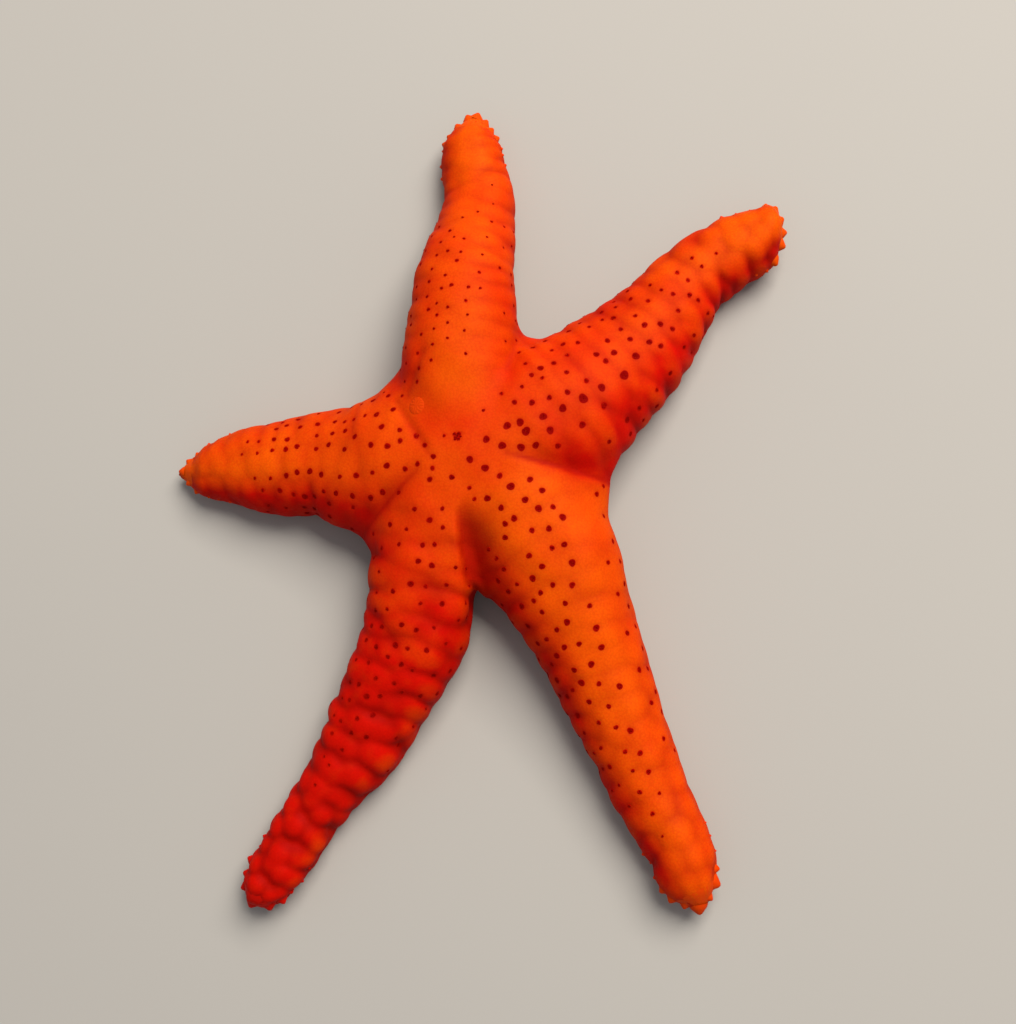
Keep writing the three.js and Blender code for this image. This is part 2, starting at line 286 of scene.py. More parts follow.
@dataclass(frozen=True)
class Arm:
    """One arm, with the run that its solids have.

    Bearing and reach go from the disc's centre to the tip. Sway is the axis's offset to
    the left of that line and half_width the half breadth, at every eighth of the reach.
    Depth is the thickness and sole the height of the underside, at every quarter. Squareness
    is how blunt the end is, and skew how much farther it goes on the left. Tone is how orange
    the skin is, from 0 to 1, at the root, the middle and the tip. It is partly painted light:
    below 0, on the southwest arm, it paints deep red shade. The flank shade pair is how
    much of that orange the left and the right side lose, as painted shade.
    """

    name: str
    bearing: float
    reach: float
    tip_length: float
    squareness: float
    skew: float
    sway: tuple[float, ...]
    half_width: tuple[float, ...]
    depth: tuple[float, ...]
    sole: tuple[float, ...]
    relief: Relief
    tone: Triple
    flank_shade: Pair
    pores: tuple[Series, ...]
    teeth: tuple[Tooth, ...]

    ROOT_ROUND = 8.0
    AXIS_SAMPLES = 66
    AXIS_SPAN = (-0.3, 1.3)
    NEAREST_STEPS = 5
    NEAREST_PULL = 0.8
    NEAREST_SPAN = (-0.6, 1.6)
    TANGENT_STEP = 0.01

    def heading(self) -> Array:
        """The unit vector from the disc's centre to the tip."""
        angle = math.radians(self.bearing)
        return np.array([math.cos(angle), math.sin(angle)])

    def axis(self, t: Array) -> Array:
        """The axis in plan.

        Args:
            t: Shares of the reach.

        Returns:
            The points there.
        """
        along = self.heading()
        left = np.array([-along[1], along[0]])
        sway = profile(self.sway, np.asarray(t))[..., None] * left
        return DISC_CENTRE + np.asarray(t)[..., None] * self.reach * along + sway

    def tangent(self, t: Array) -> Array:
        """The unit vectors along the axis in plan, at shares t of the reach."""
        run = self.axis(t + self.TANGENT_STEP) - self.axis(t - self.TANGENT_STEP)
        return run / np.linalg.norm(run, axis=-1, keepdims=True)

    def locate(self, plan: Array) -> tuple[Array, Array]:
        """Finds the nearest point of the axis.

        Args:
            plan: Points in plan, N by 2.

        Returns:
            The share of the reach, which may pass 0 and 1, and the offset to the left.
        """
        samples = np.linspace(*self.AXIS_SPAN, self.AXIS_SAMPLES)
        line = self.axis(samples)
        gap = (plan[:, None, 0] - line[:, 0]) ** 2 + (plan[:, None, 1] - line[:, 1]) ** 2
        t = samples[gap.argmin(axis=1)]
        for _ in range(self.NEAREST_STEPS):
            ahead = ((plan - self.axis(t)) * self.tangent(t)).sum(axis=1)
            t = np.clip(t + self.NEAREST_PULL * ahead / self.reach, *self.NEAREST_SPAN)
        away = plan - self.axis(t)
        run = self.tangent(t)
        return t, run[:, 0] * away[:, 1] - run[:, 1] * away[:, 0]

    def section(self, t: Array) -> tuple[Array, Array, Array, Array]:
        """The sizes of the arm's section.

        Args:
            t: Shares of the reach.

        Returns:
            The half width, the height of the widest line, and the rise above and the drop
            below it.
        """
        depth = profile(self.depth, t)
        waist = profile(self.sole, t) + depth * LOWER_SHARE
        return profile(self.half_width, t), waist, depth * (1 - LOWER_SHARE), depth * LOWER_SHARE

    def distance(self, t: Array, left: Array, z: Array) -> Array:
        """About how far a point lies outside the arm, below zero inside it.

        Args:
            t: The point's share of the reach.
            left: Its offset to the left of the axis.
            z: Its height.

        Returns:
            The distance.
        """
        width, waist, rise, drop = self.section(t)
        over = z - waist
        across = np.abs(left) / width
        upper, lower = (
            (across ** square + (np.abs(over) / half) ** square) ** (1 / square)
            for square, half in ((UPPER_SQUARENESS, rise), (LOWER_SQUARENESS, drop))
        )
        ring = np.where(over > 0, upper, lower)
        ahead = np.maximum(0.0, t * self.reach - (self.reach - self.tip_length) - self.skew * left)
        behind = np.maximum(0.0, -t * self.reach)
        blunt = self.squareness
        ratio = (ring ** blunt + (ahead / self.tip_length) ** blunt + TINY ** 2) ** (1 / blunt)
        ratio = np.where(behind > 0, np.hypot(ring, behind / self.ROOT_ROUND), ratio)
        away = np.sqrt(left ** 2 + over ** 2 + ahead ** 2 + behind ** 2 + TINY ** 2)
        return away - away / ratio

    def angle(self, t: Array, left: Array, z: Array) -> Array:
        """The degrees round the section: 0 at the crest, 90 at the left edge and 180 below."""
        width, waist, rise, drop = self.section(t)
        return np.degrees(np.arctan2(left / width, (z - waist) / np.where(z > waist, rise, drop)))

    def end(self) -> tuple[Array, Array, Array, float, float]:
        """Where the arm's rounded end starts.

        Returns:
            The middle of the section there, the unit vectors ahead and to the left, the
            half width and the rise.
        """
        t = np.array(1 - self.tip_length / self.reach)
        width, waist, rise, _ = (float(value) for value in self.section(t))
        run = np.array([*self.tangent(t), 0.0])
        across = np.array([-run[1], run[0], 0.0])
        return np.array([*self.axis(t), waist]), run, across, width, rise


NORTH = Arm(
    name="north",
    bearing=90.3,
    reach=77.4,
    tip_length=7.6,
    squareness=1.4,
    skew=0.0,
    sway=(0, 0.8, 1.3, 1.1, 0.9, -0.7, -1.2, 0.5, 0.1),
    half_width=(12, 13, 12.7, 11.5, 10.6, 8.9, 7.6, 6.7, 5.0),
    depth=(17.5, 18.5, 16.6, 12.4, 9.4),
    sole=(4.5, 5.2, 5.0, -0.2, 0.6),
    relief=Relief(
        12, (3.6, 4.0, 3.0), (0.03, 0.09, 0.05), (0.08, 0.30, 0.22),
        (0.08, 0.24, 0.30), (0.02, 0.05, 0.06),
    ),
    tone=(0.9, 0.7, 1.0),
    flank_shade=(0.6, 0.45),
    pores=(
        Series(11, 46, 40, 25, 0.75, 3.0), Series(18, 50, 21, 12, 0.62, 2.9),
        Series(22, 52, 8, -4, 0.75, 2.8), Series(17, 33, -8, -13, 0.62, 3.0),
        Series(33, 58, -24, -30, 0.66, 4.2), Series(12, 48, 58, 52, 0.7, 3.4),
        Series(22, 50, -52, -50, 0.62, 5.2), Series(14, 50, 76, 74, 0.7, 3.9),
        Series(16, 50, -74, -74, 0.7, 3.9),
    ),
    teeth=(
        Tooth(7, 8, 1.7), Tooth(-9, 8, 1.7), Tooth(33, 10, 1.6), Tooth(-28, 10, 1.5),
        Tooth(-48, 10, 1.5), Tooth(62, 8, 1.4), Tooth(-70, 8, 1.3), Tooth(82, 10, 1.2),
    ),
)
NORTHEAST = Arm(
    name="northeast",
    bearing=35.9,
    reach=82.4,
    tip_length=3.8,
    squareness=2.7,
    skew=0.42,
    sway=(0, -2.4, -4.0, -3.3, -1.7, 0.7, 3.4, 2.8, 0.9),
    half_width=(12, 14.8, 16.2, 13.7, 12.3, 9.8, 8.2, 7.4, 5.4),
    depth=(17.5, 20.4, 17.6, 13.2, 10.6),
    sole=(4.5, 2.6, -0.5, -0.5, 1.6),
    relief=Relief(
        2, (4.4, 4.6, 4.4), (0.05, 0.20, 0.20), (0.10, 0.30, 0.30),
        (0.25, 0.80, 0.60), (0.03, 0.12, 0.12),
    ),
    tone=(0.6, 0.46, 1.1),
    flank_shade=(0.35, 0.95),
    pores=(
        Series(20, 48, 40, 36, 1.0, 3.7), Series(35, 53, 29, 33, 1.1, 3.8),
        Series(29, 62, 12, 14, 1.1, 4.0), Series(37, 67, -2, -4, 1.2, 4.1),
        Series(39, 56, -16, -18, 1.35, 4.2), Series(27, 56, -23, -31, 1.4, 4.2),
        Series(16, 50, 56, 54, 1.0, 4.2), Series(24, 56, -53, -55, 1.1, 4.6),
        Series(18, 56, 75, 74, 1.0, 4.2), Series(20, 56, -76, -74, 1.0, 4.2),
    ),
    teeth=(
        Tooth(62, 6, 1.2), Tooth(44, 6, 1.8), Tooth(20, 6, 1.8), Tooth(-17, 6, 1.7),
        Tooth(-58, 6, 1.9), Tooth(-96, 8, 1.7),
    ),
)
SOUTHEAST = Arm(
    name="southeast",
    bearing=-62.8,
    reach=104.9,
    tip_length=8.8,
    squareness=1.6,
    skew=-0.25,
    sway=(0, 3.2, 5.0, 4.5, 3.8, 2.6, 1.5, 1.5, 0.8),
    half_width=(12, 15.5, 14.8, 12.1, 10.4, 9.1, 8.1, 6.8, 6.0),
    depth=(17.5, 19.6, 16.4, 12.6, 10.4),
    sole=(4.5, 2.4, -0.5, -0.5, 0.7),
    relief=Relief(
        -12, (4.4, 5.2, 5.6), (0.04, 0.10, 0.16), (0.06, 0.14, 0.18),
        (0.20, 0.50, 0.65), (0.02, 0.08, 0.12),
    ),
    tone=(1.1, 1.0, 0.75),
    flank_shade=(0.3, 0.9),
    pores=(
        Series(36, 80, 14, 12, 1.25, 4.4), Series(42, 88, -6, -11, 1.2, 4.5),
        Series(31, 62, -20, -26, 1.15, 4.1), Series(34, 80, -34, -38, 1.1, 4.2),
        Series(27, 76, -48, -54, 1.1, 4.2), Series(34, 70, 50, 50, 1.05, 7.6),
        Series(24, 72, -72, -74, 1.1, 4.2), Series(22, 74, 70, 72, 1.05, 4.4),
    ),
    teeth=(
        Tooth(35, 6, 2.3), Tooth(62, 8, 1.3), Tooth(12, 8, 1.2), Tooth(-9, 4, 2.1),
        Tooth(-28, 6, 1.6), Tooth(-50, 8, 1.5), Tooth(-70, 8, 1.4),
    ),
)
SOUTHWEST = Arm(
    name="southwest",
    bearing=-115.1,
    reach=104.8,
    tip_length=7.0,
    squareness=2.4,
    skew=0.0,
    sway=(0, 1.3, 3.2, 5.8, 5.4, 5.0, 2.4, 0.7, -1.6),
    half_width=(12, 13, 12.8, 11.2, 10, 8.8, 6.5, 6.1, 5.2),
    depth=(17.5, 18.2, 15.4, 11.4, 9.6),
    sole=(4.5, 2.4, -0.5, -0.5, 0.7),
    relief=Relief(
        -10, (4.8, 5.4, 4.6), (-0.02, 0.44, 0.75), (0.06, 0.76, 0.75),
        (0.06, 0.76, 0.80), (0.02, 0.18, 0.26),
    ),
    # Below 0 the tone paints this arm deep red: painted shade.
    tone=(1.05, -0.2, -0.35),
    flank_shade=(0.9, 0.6),
    pores=(
        Series(24, 50, 27, 25, 0.95, 4.0), Series(13, 62, 11, 8, 1.1, 4.1),
        Series(9, 76, -2, -14, 1.15, 4.1), Series(15, 70, -22, -32, 1.0, 4.1),
        Series(20, 62, -41, -46, 0.95, 4.0), Series(24, 60, 48, 46, 0.95, 5.2),
        Series(20, 66, 70, 68, 0.95, 4.4), Series(22, 64, -66, -70, 0.95, 4.4),
    ),
    teeth=(
        Tooth(-56, 4, 1.6), Tooth(-30, 4, 1.4), Tooth(1, 2, 2.0), Tooth(33, 4, 1.8),
        Tooth(62, 6, 1.5), Tooth(-90, 8, 1.3), Tooth(88, 8, 1.2),
    ),
)
WEST = Arm(
    name="west",
    bearing=-177.6,
    reach=66.0,
    tip_length=7.0,
    squareness=1.3,
    skew=0.0,
    sway=(0, 0.4, 1.0, 1.1, -0.2, -0.2, -0.4, -0.2, -0.3),
    half_width=(12, 13.8, 14.8, 13.8, 11.3, 10.5, 8.8, 6.1, 3.6),
    depth=(17.5, 18.6, 16.4, 12.8, 6.4),
    sole=(4.5, 2.2, -0.5, -0.5, 0.5),
    relief=Relief(
        3, (3.8, 4.4, 3.8), (0.03, 0.12, 0.14), (0.12, 0.30, 0.24),
        (0.08, 0.20, 0.22), (0.02, 0.08, 0.10),
    ),
    tone=(0.72, 0.75, 1.0),
    flank_shade=(1.05, 0.3),
    pores=(
        Series(24, 35, 45, 44, 1.1, 3.3), Series(14, 44, 29, 37, 1.1, 3.1),
        Series(6, 46, 11, 21, 1.05, 3.2), Series(9, 49, -6, -13, 1.05, 3.2),
        Series(13, 48, -20, -29, 1.05, 3.1), Series(11, 42, -33, -45, 1.0, 3.2),
        Series(16, 44, 60, 60, 1.0, 3.8), Series(15, 44, -60, -62, 0.95, 3.8),
        Series(16, 44, 77, 76, 0.95, 4.0),
    ),
    teeth=(
        Tooth(-3, 8, 1.3), Tooth(-30, 6, 1.2), Tooth(28, 6, 1.1), Tooth(-60, 6, 1.0),
        Tooth(60, 8, 1.0),
    ),
)
ARMS = (NORTH, NORTHEAST, SOUTHEAST, SOUTHWEST, WEST)


@dataclass(frozen=True)
class Arc:
    """A row of pore areas that bends over the disc, through three places in plan."""

    arm: int
    start: Pair
    middle: Pair
    end: Pair
    count: int
    spot: float

    def plan(self, share: float) -> Array:
        """A place on the arc.

        Args:
            share: How far along the arc, from 0 to 1.

        Returns:
            The place in plan.
        """
        start, middle, end = (np.array(place) for place in (self.start, self.middle, self.end))
        bend = 2 * middle - (start + end) / 2
        return start * (1 - share) ** 2 + bend * 2 * share * (1 - share) + end * share ** 2


ARCS = (
    Arc(1, (4.1, 9.5), (11.0, 8.2), (18.4, 8.6), 5, 1.35),
    Arc(1, (8.2, 12.4), (14.7, 11.2), (24.0, 13.2), 4, 1.5),
    Arc(1, (11.3, 13.7), (21.5, 16.9), (31.6, 24.1), 6, 1.7),
    Arc(1, (10.0, 18.0), (18.4, 18.9), (28.2, 26.4), 6, 1.25),
    Arc(1, (7.0, 19.4), (13.2, 21.6), (20.3, 23.7), 4, 0.95),
    Arc(1, (12.6, 23.8), (17.2, 26.4), (22.7, 30.8), 5, 1.1),
    Arc(1, (27.2, 17.6), (29.6, 16.4), (32.2, 14.6), 2, 1.4),
    Arc(2, (1.0, 5.7), (12.1, -2.1), (21.2, -14.8), 9, 1.35),
    Arc(2, (13.1, 1.6), (16.5, -2.0), (19.3, -5.7), 4, 1.25),
    Arc(2, (4.2, -2.5), (10.0, -6.1), (17.5, -11.6), 5, 1.2),
    Arc(2, (7.9, -7.6), (8.1, -9.8), (8.8, -12.0), 3, 1.2),
    Arc(2, (13.0, -13.8), (16.3, -17.4), (19.6, -22.9), 4, 1.2),
    Arc(2, (0.8, -0.1), (1.2, -1.2), (1.6, -2.3), 2, 0.8),
    Arc(2, (4.4, -12.1), (7.8, -16.4), (13.4, -22.4), 5, 0.95),
    Arc(4, (-10.3, 10.7), (-7.3, 7.0), (-7.8, 1.8), 5, 1.1),
    Arc(3, (-3.2, 2.2), (-4.4, -0.9), (-4.8, -4.0), 2, 1.0),
    Arc(0, (3.7, 15.7), (2.4, 22.0), (0.1, 27.5), 2, 0.75),
)


@dataclass(frozen=True)
class Crease:
    """A fold in the back between two arm bases.

    It runs in plan from the inner to the outer end, where it is deepest. Left and right
    are how far its slopes reach on either side of that run, and the slope shade is how deep
    red the skin on them is painted, from 0 to 1, as painted shade.
    """

    inner: Pair
    outer: Pair
    depth: float
    left: float
    right: float
    slope_shade: float


CREASES = (
    Crease((8.1, 7.1), (28.7, 2.5), 0.95, 2.2, 0.8, 0.35),
    Crease((-10.4, 3.9), (-21.5, -6.6), 0.8, 1.3, 2.2, 0.5),
    Crease((-7.4, 6.8), (-13.8, 16.4), 0.4, 0.8, 1.0, 0.5),
    Crease((-13.6, 18.6), (-10.4, 26.5), 0.35, 0.8, 0.8, 0.4),
    Crease((-1.6, -4.5), (-0.4, -16.0), 2.4, 6.4, 0.6, 1.0),
    Crease((8.0, 25.0), (9.7, 33.7), 0.5, 0.9, 1.6, 0.4),
)


@dataclass(frozen=True)
class Body:
    """The whole flesh as one field of distance: arms, dome, furrows, mouth and floor."""

    dome_centre: Pair = (1.8, 6.0)
    dome_radius: float = 26.3
    dome_top: float = 22.2
    dome_sole: float = 4.2
    dome_waist: float = 10.5
    webs: tuple[float, ...] = (7.5, 10.0, 1.4, 9.5)
    web_fade: float = 0.75
    web_heights: Pair = (10.0, 19.0)
    dome_blend: float = 4.0
    furrow_blend: float = 0.8
    floor_blend: float = 0.6
    notch_centre: Pair = (1.5, -27.6)
    notch_half: Pair = (2.0, 8.2)
    notch_turn: float = 7.0
    notch_blend: float = 2.6
    furrow_start: float = 4.0
    furrow_end: float = 0.95
    furrow_half_width: Pair = (2.7, 1.5)
    furrow_depth: Pair = (4.6, 2.4)
    mouth_radius: float = 5.4
    mouth_depth: float = 3.0

    def dome(self, plan: Array, z: Array) -> Array:
        """How far a point lies outside the low dome that webs the arm bases together.

        Args:
            plan: The point in plan.
            z: Its height.

        Returns:
            The distance.
        """
        across = np.hypot(plan[..., 0] - self.dome_centre[0], plan[..., 1] - self.dome_centre[1])
        over = z - self.dome_waist
        rise = np.where(over > 0, self.dome_top - self.dome_waist, self.dome_waist - self.dome_sole)
        return outside((across, over), (self.dome_radius, rise))

    def furrow_size(self, arm: Arm, t: Array) -> tuple[Array, Array, Array]:
        """The sizes of an arm's furrow.

        Args:
            arm: The arm.
            t: Shares of its reach.

        Returns:
            The half width, the depth and the height of the lips.
        """
        share = np.clip(t, 0.0, 1.0)
        wide, narrow = self.furrow_half_width
        deep, shallow = self.furrow_depth
        lips = np.maximum(profile(arm.sole, t), 0.0)
        return wide + (narrow - wide) * share, deep + (shallow - deep) * share, lips

    def furrow(self, arm: Arm, t: Array, left: Array, z: Array) -> Array:
        """How far a point lies outside the furrow along the sole of an arm.

        Args:
            arm: The arm.
            t: The point's share of its reach.
            left: Its offset to the left of the axis.
            z: Its height.

        Returns:
            The distance.
        """
        half_width, depth, lips = self.furrow_size(arm, t)
        past_end = np.maximum(0.0, (t - self.furrow_end) * arm.reach)
        past_start = np.maximum(0.0, self.furrow_start - t * arm.reach)
        return outside(
            (left, z - lips, past_end, past_start), (half_width, depth, half_width, half_width)
        )

    def mouth(self, plan: Array, z: Array) -> Array:
        """How far a point of the given plan and height lies outside the mouth's hollow."""
        across = np.hypot(plan[..., 0] - DISC_CENTRE[0], plan[..., 1] - DISC_CENTRE[1])
        return outside((across, z - self.dome_sole), (self.mouth_radius, self.mouth_depth))

    def notch(self, plan: Array) -> Array:
        """How far a point lies outside the upright notch that parts two close arms.

        Args:
            plan: The point in plan.

        Returns:
            The distance.
        """
        turn = math.radians(self.notch_turn)
        x, y = plan[..., 0] - self.notch_centre[0], plan[..., 1] - self.notch_centre[1]
        across = x * math.cos(turn) + y * math.sin(turn)
        along = y * math.cos(turn) - x * math.sin(turn)
        return outside((across, along), self.notch_half)

    def field(
        self, plan: Array, z: Array, places: list
    ) -> tuple[Array, list[Array]]:
        """The distance to the skin, below zero inside the flesh.

        Args:
            plan: The points in plan.
            z: Their heights.
            places: For each arm, the share of the reach and the offset to the left.

        Returns:
            The distance, and each arm's own distance.
        """
        arms = [arm.distance(*place, z) for arm, place in zip(ARMS, places)]
        whole = arms[0]
        low_down = 1 - self.web_fade * smoothstep(*self.web_heights, z)
        for other, web in zip(arms[1:], self.webs):
            whole = smooth_min(whole, other, web * low_down)
        whole = smooth_min(whole, self.dome(plan, z), self.dome_blend)
        whole = -smooth_min(-whole, self.notch(plan), self.notch_blend)
        for arm, place in zip(ARMS, places):
            whole = -smooth_min(-whole, self.furrow(arm, *place, z), self.furrow_blend)
        whole = -smooth_min(-whole, self.mouth(plan, z), self.furrow_blend)
        return -smooth_min(-whole, z, self.floor_blend), arms


class PlanMap:
    """Every arm's nearest axis point on a plan grid, to be read anywhere in between."""

    def __init__(self, low: Array, counts: tuple[int, int], step: float) -> None:
        """Works the grid out once.

        Args:
            low: The grid's first corner in plan.
            counts: How many grid points there are each way.
            step: The distance between them.
        """
        self.low = low
        self.counts = counts
        self.step = step
        x = low[0] + step * np.arange(counts[0])
        y = low[1] + step * np.arange(counts[1])
        self.plan = np.stack(np.meshgrid(x, y, indexing="ij"), axis=-1)
        flat = self.plan.reshape(-1, 2)
        self.places = []
        for arm in ARMS:
            t, left = arm.locate(flat)
            self.places.append((t.reshape(counts), left.reshape(counts)))

    def read(self, points: Array) -> list[tuple[Array, Array]]:
        """Reads the map at any points, between the grid's own.

        Args:
            points: The points; only their place in plan counts.

        Returns:
            For each arm, the share of the reach and the offset to the left.
        """
        spot = (points[:, :2] - self.low) / self.step
        cell = np.clip(spot.astype(int), 0, np.array(self.counts) - 2)
        f, g = (spot - cell).T
        i, j = cell.T
        found = []
        for grids in self.places:
            found.append(tuple(
                grid[i, j] * (1 - f) * (1 - g)
                + grid[i + 1, j] * f * (1 - g)
                + grid[i, j + 1] * (1 - f) * g
                + grid[i + 1, j + 1] * f * g
                for grid in grids
            ))
        return found


def surface_nets(field: Array, low: Array, step: float) -> tuple[Array, Array]:
    """Meshes the zero level of a field with one vertex in every cell that it crosses.

    Args:
        field: The field on a grid, below zero inside.
        low: The grid's first corner.
        step: The distance between grid points.

    Returns:
        The vertices, and the quads with their faces pointing out.
    """
    cells = tuple(n - 1 for n in field.shape)
    size = int(np.prod(cells))
    count = np.zeros(size)
    total = np.zeros((3, size))
    rings = []
    steps = np.eye(3, dtype=int)
    for axis in range(3):
        below = np.moveaxis(field, axis, 0) < 0
        edge = np.argwhere(np.moveaxis(below[:-1] != below[1:], 0, axis))
        start = field[tuple(edge.T)]
        end = field[tuple((edge + steps[axis]).T)]
        spot = edge.astype(float)
        spot[:, axis] += start / (start - end)
        u, v = steps[(axis + 1) % 3], steps[(axis + 2) % 3]
        ring = [
            np.ravel_multi_index(tuple(cell.T), cells)
            for cell in (edge, edge - u, edge - u - v, edge - v)
        ]
        for flat in ring:
            count += np.bincount(flat, minlength=size)
            for k in range(3):
                total[k] += np.bincount(flat, weights=spot[:, k], minlength=size)
        quads = np.stack(ring, axis=1)
        rings.append(np.where(start[:, None] < 0, quads, quads[:, ::-1]))
    used = np.flatnonzero(count)
    number = np.full(size, -1)
    number[used] = np.arange(len(used))
    points = low + step * (total[:, used] / count[used]).T
    return points, number[np.concatenate(rings)]


@dataclass
class SkinForm:
    """The skin's final mesh and what was worked out on it.

    Points are in millimetres. Shares and angles hold, for each arm, the place of every
    vertex along and round it, and weights how much it belongs to that arm. Valley, glow
    and halo are the markings, from 0 to 1; valley and glow are partly painted light:
    painted shade, and on the crests painted highlight.
    """

    points: Array
    quads: Array
    normals: Array
    shares: Array
    angles: Array
    weights: Array
    valley: Array
    glow: Array
    halo: Array

    def tree(self) -> BVHTree:
        """The mesh as something that rays can be cast at."""
        return BVHTree.FromPolygons(self.points.tolist(), self.quads.tolist())


@dataclass(frozen=True)
class SkinShaper:
    """Meshes the body's field and models the plates and folds into it.

    Plates lie in rows round the arm, and each is a cushion that falls off with a power of
    the distance from its middle. Angle pairs are degrees from the crest between which
    something begins or ends. Glow is how orange the skin is and valley how deep red. Both
    are partly painted light: the flanks, creases, downward faces and the southwest arm carry
    painted shade, the valleys between plates are partly their own deep red and partly painted
    shade, and the plate crests are partly their own orange and partly painted highlight. The
    unevenness rows hold a height, a wavelength and a seed.
    """

    body: Body = Body()
    step: float = 0.6
    margin_steps: float = 3.0
    nudge: float = 0.02
    relax_rounds: int = 4
    relax_pull: float = 0.6
    flattest: float = 0.05
    longest_move: float = 0.4
    rows: int = 10
    plate_seed: int = 70
    scatter: float = 0.15
    slip: float = 0.22
    bow: float = 0.14
    crest: float = 2.2
    cushion_reach: float = 3.2
    rounding: float = 0.22
    faintest: float = 1e-9
    rise: Pair = (-0.35, 0.35)
    middle: float = 0.3
    height_limits: Pair = (-2.0, 1.5)
    past_tip: float = 4.0
    edge_angles: Pair = (12.0, 55.0)
    sole_angles: Pair = (98.0, 125.0)
    oral_swell: float = 0.16
    oral_rows: float = 0.4
    calm_disc: Pair = (6.0, 26.0)
    fold_line: float = 0.75
    fold_past: float = 1.25
    fold_start: Pair = (-0.3, 0.7)
    fold_red_start: Pair = (-0.3, 0.3)
    upward: Pair = (-0.1, 0.3)
    arm_blend: float = 1.0
    least_weight: float = 0.003
    flank_angles: Pair = (8.0, 54.0)
    flank_ends: Pair = (100.0, 150.0)
    flank_back: float = 0.7
    centre_red: float = 0.42
    centre_reach: float = 8.0
    crest_glow: float = 0.3
    crest_height: float = 0.4
    crest_fade: float = 5.0
    glow_drift: tuple[float, float, int] = (0.12, 15.0, 33)
    valley_start: float = 0.14
    valley_depth: float = 0.5
    sole_shade: float = 0.25
    sole_normals: Pair = (0.5, -0.2)
    sole_heights: Pair = (1.5, 4.0)
    unevenness: tuple[tuple[float, float, int], ...] = ((0.10, 8.0, 31), (0.22, 24.0, 32))
    uneven_heights: Pair = (1.5, 5.0)

    def mesh(self) -> tuple[Array, Array, PlanMap]:
        """Meshes the body's field.

        Returns:
            The vertices, the quads and the plan map used for them.
        """
        margin = self.margin_steps * self.step
        low = np.array(CAD_BOX[0]) / MM - margin
        high = np.array(CAD_BOX[1]) / MM + margin
        low[2] = -margin / 2
        counts = np.ceil((high - low) / self.step).astype(int) + 1
        plan_map = PlanMap(low[:2], (int(counts[0]), int(counts[1])), self.step)
        heights = low[2] + self.step * np.arange(counts[2])
        places = [(t[..., None], left[..., None]) for t, left in plan_map.places]
        field, _ = self.body.field(plan_map.plan[:, :, None, :], heights[None, None, :], places)
        points, quads = surface_nets(field, low, self.step)
        return points, quads, plan_map

    def measure(
        self, points: Array, plan_map: PlanMap
    ) -> tuple[Array, list[Array], list]:
        """The distance to the skin at points, each arm's own, and the places on the arms."""
        places = plan_map.read(points)
        return (*self.body.field(points[:, :2], points[:, 2], places), places)

    def slope(self, points: Array, plan_map: PlanMap) -> tuple[Array, Array]:
        """Reads the field and its gradient.

        Args:
            points: The points.
            plan_map: The plan map for them.

        Returns:
            The distance to the skin and its gradient.
        """
        here = self.measure(points, plan_map)[0]
        gradient = np.empty_like(points)
        for axis in range(3):
            moved = points.copy()
            moved[:, axis] += self.nudge
            gradient[:, axis] = (self.measure(moved, plan_map)[0] - here) / self.nudge
        return here, gradient

    def settle(self, points: Array, plan_map: PlanMap) -> tuple[Array, Array, Array]:
        """Moves points on to the skin.

        Args:
            points: The points, near it.
            plan_map: The plan map for them.

        Returns:
            The moved points, and the gradient and its squared length where they were.
        """
        level, gradient = self.slope(points, plan_map)
        squared = np.maximum((gradient ** 2).sum(axis=1, keepdims=True), self.flattest)
        move = np.clip(level[:, None] / squared, -self.longest_move, self.longest_move)
        return points - gradient * move, gradient, squared

    def relax(
        self, points: Array, quads: Array, plan_map: PlanMap
    ) -> tuple[Array, Array]:
        """Evens out the mesh along the surface and sets it exactly on it.

        Args:
            points: The vertices.
            quads: The faces.
            plan_map: The plan map for these points.

        Returns:
            The vertices and the unit normals.
        """
        ends = np.concatenate([quads[:, [k, (k + 1) % 4]] for k in range(4)])
        degree = np.bincount(ends[:, 0], minlength=len(points))
        for _ in range(self.relax_rounds):
            points, gradient, squared = self.settle(points, plan_map)
            normals = gradient / np.sqrt(squared)
            sums = [
                np.bincount(ends[:, 0], weights=points[ends[:, 1], k], minlength=len(points))
                for k in range(3)
            ]
            pull = np.stack(sums, axis=1) / degree[:, None] - points
            along = pull - normals * (pull * normals).sum(axis=1, keepdims=True)
            points = points + self.relax_pull * along
        points, gradient, _ = self.settle(points, plan_map)
        return points, gradient / np.linalg.norm(gradient, axis=1, keepdims=True)

